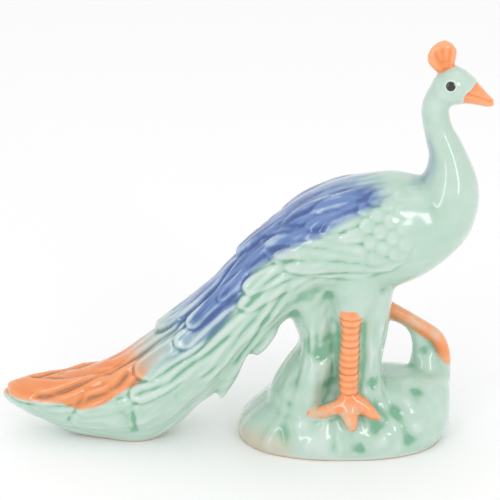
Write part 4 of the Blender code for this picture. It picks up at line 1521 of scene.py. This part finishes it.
@dataclass(frozen=True)
class PeacockGlaze:
    """Clear glaze over pale green, sprayed blue and orange, and brushed orange.

    A span holds where a change starts and where it is whole. The heights and the foot's span are
    in metres, and the spans of the eyes are in radii of the eye.
    """

    celadon: Tone = Tone((0.58, 0.70, 0.64), (0.455, 0.625, 0.52), (0.18, 0.43, 0.275))
    blue: Tone = Tone((0.29, 0.40, 0.63), (0.12, 0.215, 0.465), (0.04, 0.095, 0.29))
    orange: Tone = Tone((0.86, 0.33, 0.12), (0.80, 0.25, 0.07), (0.42, 0.17, 0.06))
    brushed: Tone = Tone((0.92, 0.38, 0.16), (0.89, 0.27, 0.07), (0.46, 0.15, 0.04))
    thin_paint: Colour = (0.70, 0.52, 0.37)
    worn: Colour = (0.58, 0.53, 0.41)
    foot: Colour = (0.62, 0.50, 0.37)
    eye_black: Colour = (0.006, 0.006, 0.008)
    eye_ring: Colour = (0.70, 0.80, 0.75)
    roughness: float = 0.22
    coat_roughness: float = 0.13
    foot_roughness: float = 0.7
    cloudy: Clouds = Clouds(70.0, 2.0, 1.4)
    grainy: Clouds = Clouds(260.0, 3.0, 0.5)
    rippled: Clouds = Clouds(160.0, 1.0)
    ripple_strength: float = 0.12
    ripple_height: float = 0.001
    pooling_span: Span = (-0.45, 0.45)
    pooling_share: float = 1.6
    hollow_span: Span = (-1.6, 1.6)
    hollow_share: float = 0.3
    cloud_share: float = 0.5
    grain_share: float = 0.25
    blot_span: Span = (0.3, 0.65)
    blot_least: float = 0.1
    blot_share: float = 0.6
    mottle_share: float = 0.5
    green_streaks: float = 0.15
    wet_span: Span = (-0.4, 1.0)
    wet_middle: float = 0.4
    blue_streaks: float = 0.3
    blue_deeper: float = 0.15
    blue_streaks_deeper: float = 0.6
    brush_span: Span = (-0.35, 0.35)
    brush_mottle: float = 0.8
    brush_grain: float = 0.6
    thin_heights: Span = (0.027, 0.021)
    thin_span: Span = (0.45, 0.6)
    thin_most: float = 0.8
    ring_span: Span = (1.5, 0.9)
    black_span: Span = (1.04, 0.84)
    worn_span: Span = (0.25, 0.6)
    foot_span: Span = (0.0012, 0.0004)
    foot_wave: float = 0.002

    def _depth(self, recipe: Recipe, clouds: Signal, grain: Signal) -> Signal:
        """How deep the glaze lies.

        Args:
            recipe: the finish that it is part of.
            clouds: the large clouds.
            grain: the fine ones.

        Returns:
            0 on a ridge, about a half on plain skin, 1 where the glaze pools.
        """
        narrow = recipe.reading("pooling").ease(*self.pooling_span) * self.pooling_share
        broad = recipe.reading("hollow").ease(*self.hollow_span) * self.hollow_share
        uneven = (clouds - 0.5) * self.cloud_share + (grain - 0.5) * self.grain_share
        blots = self.blot_least + self.blot_share * clouds.ease(*self.blot_span)
        return narrow + broad - 0.5 + uneven + recipe.reading("blotted") * blots

    def _sprayed(self, recipe: Recipe, depth: Signal, mottle: Signal) -> Signal:
        """The green glaze with the blue and the orange sprayed over it.

        Args:
            recipe: the finish that it is part of.
            depth: how deep the glaze lies.
            mottle: how uneven the spray is, round 0.

        Returns:
            The colour.
        """
        streaked = recipe.reading("streaked")
        green = self.celadon.over(recipe, depth + streaked * self.green_streaks)
        wet = depth.ease(*self.wet_span) - self.wet_middle
        blue = recipe.reading("blue") * (1.0 + mottle + wet + streaked * self.blue_streaks)
        deeper = depth + self.blue_deeper + streaked * self.blue_streaks_deeper
        colour = recipe.blend(blue.ease(0.0, 1.0), green, self.blue.over(recipe, deeper))
        orange = recipe.reading("orange") * (1.0 + mottle)
        return recipe.blend(orange.ease(0.0, 1.0), colour, self.orange.over(recipe, depth))

    def _eyed(self, recipe: Recipe, colour: Signal, head: Head, place: Matrix) -> Signal:
        """Paints the eyes over the other colours.

        Args:
            recipe: the finish that they are part of.
            colour: the colour so far.
            head: the head, for where the eyes are.
            place: from the drawing to the row's frame.

        Returns:
            The colour with the eyes.
        """
        eye = place @ Vector(head.eye)
        radius = head.eye_radius * UNIT
        side_view = {0: recipe.here(), 1: (1.0, 0.0, 1.0)}
        flat = recipe.signal("ShaderNodeVectorMath", {"operation": "MULTIPLY"}, side_view)
        ends = {0: flat, 1: (eye.x, 0.0, eye.z)}
        away = recipe.signal("ShaderNodeVectorMath", {"operation": "DISTANCE"}, ends, "Value")
        rings = ((self.eye_ring, self.ring_span), (self.eye_black, self.black_span))
        for paint, (start, end) in rings:
            colour = recipe.blend(away.ease(start * radius, end * radius), colour, paint)
        return colour

    def material(self, head: Head, place: Matrix) -> bpy.types.Material:
        """Makes the glaze.

        Args:
            head: the head, for the painted eyes.
            place: from the drawing to the row's frame.

        Returns:
            The material.
        """
        recipe = Recipe("peacock glaze")
        clouds = recipe.clouds(self.cloudy)
        grain = recipe.clouds(self.grainy)
        height = recipe.signal("ShaderNodeSeparateXYZ", {}, {0: recipe.here()}, "Z")
        depth = self._depth(recipe, clouds, grain)
        mottle = (clouds - 0.5) * self.mottle_share
        colour = self._sprayed(recipe, depth, mottle)
        brushed = recipe.reading("brushed") + mottle * self.brush_mottle
        brushed = (brushed + (grain - 0.5) * self.brush_grain).ease(*self.brush_span)
        thin = height.ease(*self.thin_heights) * grain.ease(*self.thin_span) * self.thin_most
        paint = recipe.blend(thin, self.brushed.over(recipe, depth), self.thin_paint)
        colour = self._eyed(recipe, recipe.blend(brushed, colour, paint), head, place)
        worn = recipe.reading("worn") * clouds.ease(*self.worn_span)
        colour = recipe.blend(worn, colour, self.worn)
        bare = (height + (clouds - 0.5) * self.foot_wave).ease(*self.foot_span)
        colour = recipe.blend(bare, colour, self.foot)
        rough = self.roughness + bare * (self.foot_roughness - self.roughness)
        ripples = {
            "Strength": self.ripple_strength,
            "Distance": self.ripple_height,
            "Height": recipe.clouds(self.rippled),
        }
        bump = recipe.signal("ShaderNodeBump", {}, ripples, "Normal")
        constants = {
            "Specular IOR Level": 0.2,
            "Coat Roughness": self.coat_roughness,
            "Coat IOR": 1.6,
            "Subsurface Weight": 0.12,
            "Subsurface Radius": (0.6, 0.9, 0.7),
            "Subsurface Scale": 0.004,
        }
        recipe.feed(recipe.shader, constants)
        surface = {"Base Color": colour, "Roughness": rough, "Coat Weight": 1.0 - bare}
        recipe.feed(recipe.shader, {**surface, "Normal": bump})
        return recipe.material


@dataclass(frozen=True)
class PaleFloor:
    """Plain pale studio floor."""

    colour: Colour = (0.97, 0.97, 0.97)
    roughness: float = 0.6

    def material(self) -> bpy.types.Material:
        """Makes the floor's finish."""
        recipe = Recipe("pale floor")
        recipe.feed(recipe.shader, {"Base Color": (*self.colour, 1.0), "Roughness": self.roughness})
        return recipe.material


@dataclass(frozen=True)
class Lamp:
    """One soft studio light, aimed at the figurine."""

    name: str
    azimuth: float
    elevation: float
    distance: float
    width: float
    height: float
    power: float

    def hang(self, target: Vector) -> None:
        """Hangs the light.

        Args:
            target: what it is aimed at.
        """
        azimuth, elevation = math.radians(self.azimuth), math.radians(self.elevation)
        flat = math.cos(elevation)
        away = Vector((math.sin(azimuth) * flat, -math.cos(azimuth) * flat, math.sin(elevation)))
        data = bpy.data.lights.new(self.name, "AREA")
        data.shape = "RECTANGLE"
        data.size = self.width
        data.size_y = self.height
        data.energy = self.power
        lamp = bpy.data.objects.new(self.name, data)
        lamp.location = target + away * self.distance
        lamp.rotation_euler = away.to_track_quat("Z", "Y").to_euler()
        bpy.context.scene.collection.objects.link(lamp)


@dataclass(frozen=True)
class Studio:
    """Camera, lights and floor."""

    target: tuple[float, float, float] = (0.00417, -0.00032, 0.0805)
    elevation: float = 22.0
    distance: float = 0.600
    lens: float = 110.0
    sensor: float = 36.0
    nearest: float = 0.01
    floor_size: float = 8.0
    sky: float = 0.92
    lamps: tuple[Lamp, ...] = (
        Lamp("left softbox", -30.0, 24.0, 0.9, 0.09, 0.5, 0.7),
        Lamp("right softbox", 36.0, 24.0, 0.9, 0.09, 0.3, 0.65),
        Lamp("top softbox", 10.0, 80.0, 2.2, 3.0, 3.0, 7.0),
    )

    def floor(self) -> bpy.types.Object:
        """Makes the floor.

        Returns:
            Its object.
        """
        mesh = bmesh.new()
        bmesh.ops.create_grid(mesh, x_segments=1, y_segments=1, size=self.floor_size / 2)
        data = bpy.data.meshes.new("floor")
        mesh.to_mesh(data)
        mesh.free()
        data.materials.append(PaleFloor().material())
        floor = bpy.data.objects.new("floor", data)
        bpy.context.scene.collection.objects.link(floor)
        return floor

    def camera(self) -> None:
        """Puts the camera where the picture was taken from."""
        data = bpy.data.cameras.new("camera")
        data.lens = self.lens
        data.sensor_width = self.sensor
        data.clip_start = self.nearest
        angle = math.radians(self.elevation)
        away = Vector((0.0, -math.cos(angle), math.sin(angle)))
        camera = bpy.data.objects.new("camera", data)
        camera.location = Vector(self.target) + away * self.distance
        camera.rotation_euler = away.to_track_quat("Z", "Y").to_euler()
        bpy.context.scene.collection.objects.link(camera)
        bpy.context.scene.camera = camera

    def light(self) -> None:
        """Hangs the lights and sets the pale sky."""
        for lamp in self.lamps:
            lamp.hang(Vector(self.target))
        world = bpy.data.worlds.new("pale studio")
        world.use_nodes = True
        sky = world.node_tree.nodes["Background"]
        sky.inputs["Color"].default_value = (1.0, 1.0, 1.0, 1.0)
        sky.inputs["Strength"].default_value = self.sky
        scene = bpy.context.scene
        scene.world = world
        scene.view_settings.view_transform = "Standard"
        scene.view_settings.look = "None"


def plain(box: Sequence[Vector]) -> list[list[float]]:
    """The corners of a box as plain lists."""
    return [list(map(float, corner)) for corner in box]


def main() -> None:
    """Builds the figurine round the solid, then the studio."""
    logging.basicConfig(level=logging.INFO, format="%(message)s")
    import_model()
    low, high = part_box("peacock_figurine")
    figurine = Figurine()
    figure, place = figurine.build(low, high)
    figure.data.materials.append(PeacockGlaze().material(figurine.head, place))
    log.info("%s: %d faces", figure.name, len(figure.data.polygons))
    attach(figure, "root")
    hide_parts("peacock_figurine")
    studio = Studio()
    studio.floor()
    studio.camera()
    studio.light()


if __name__ == "__main__":
    main()
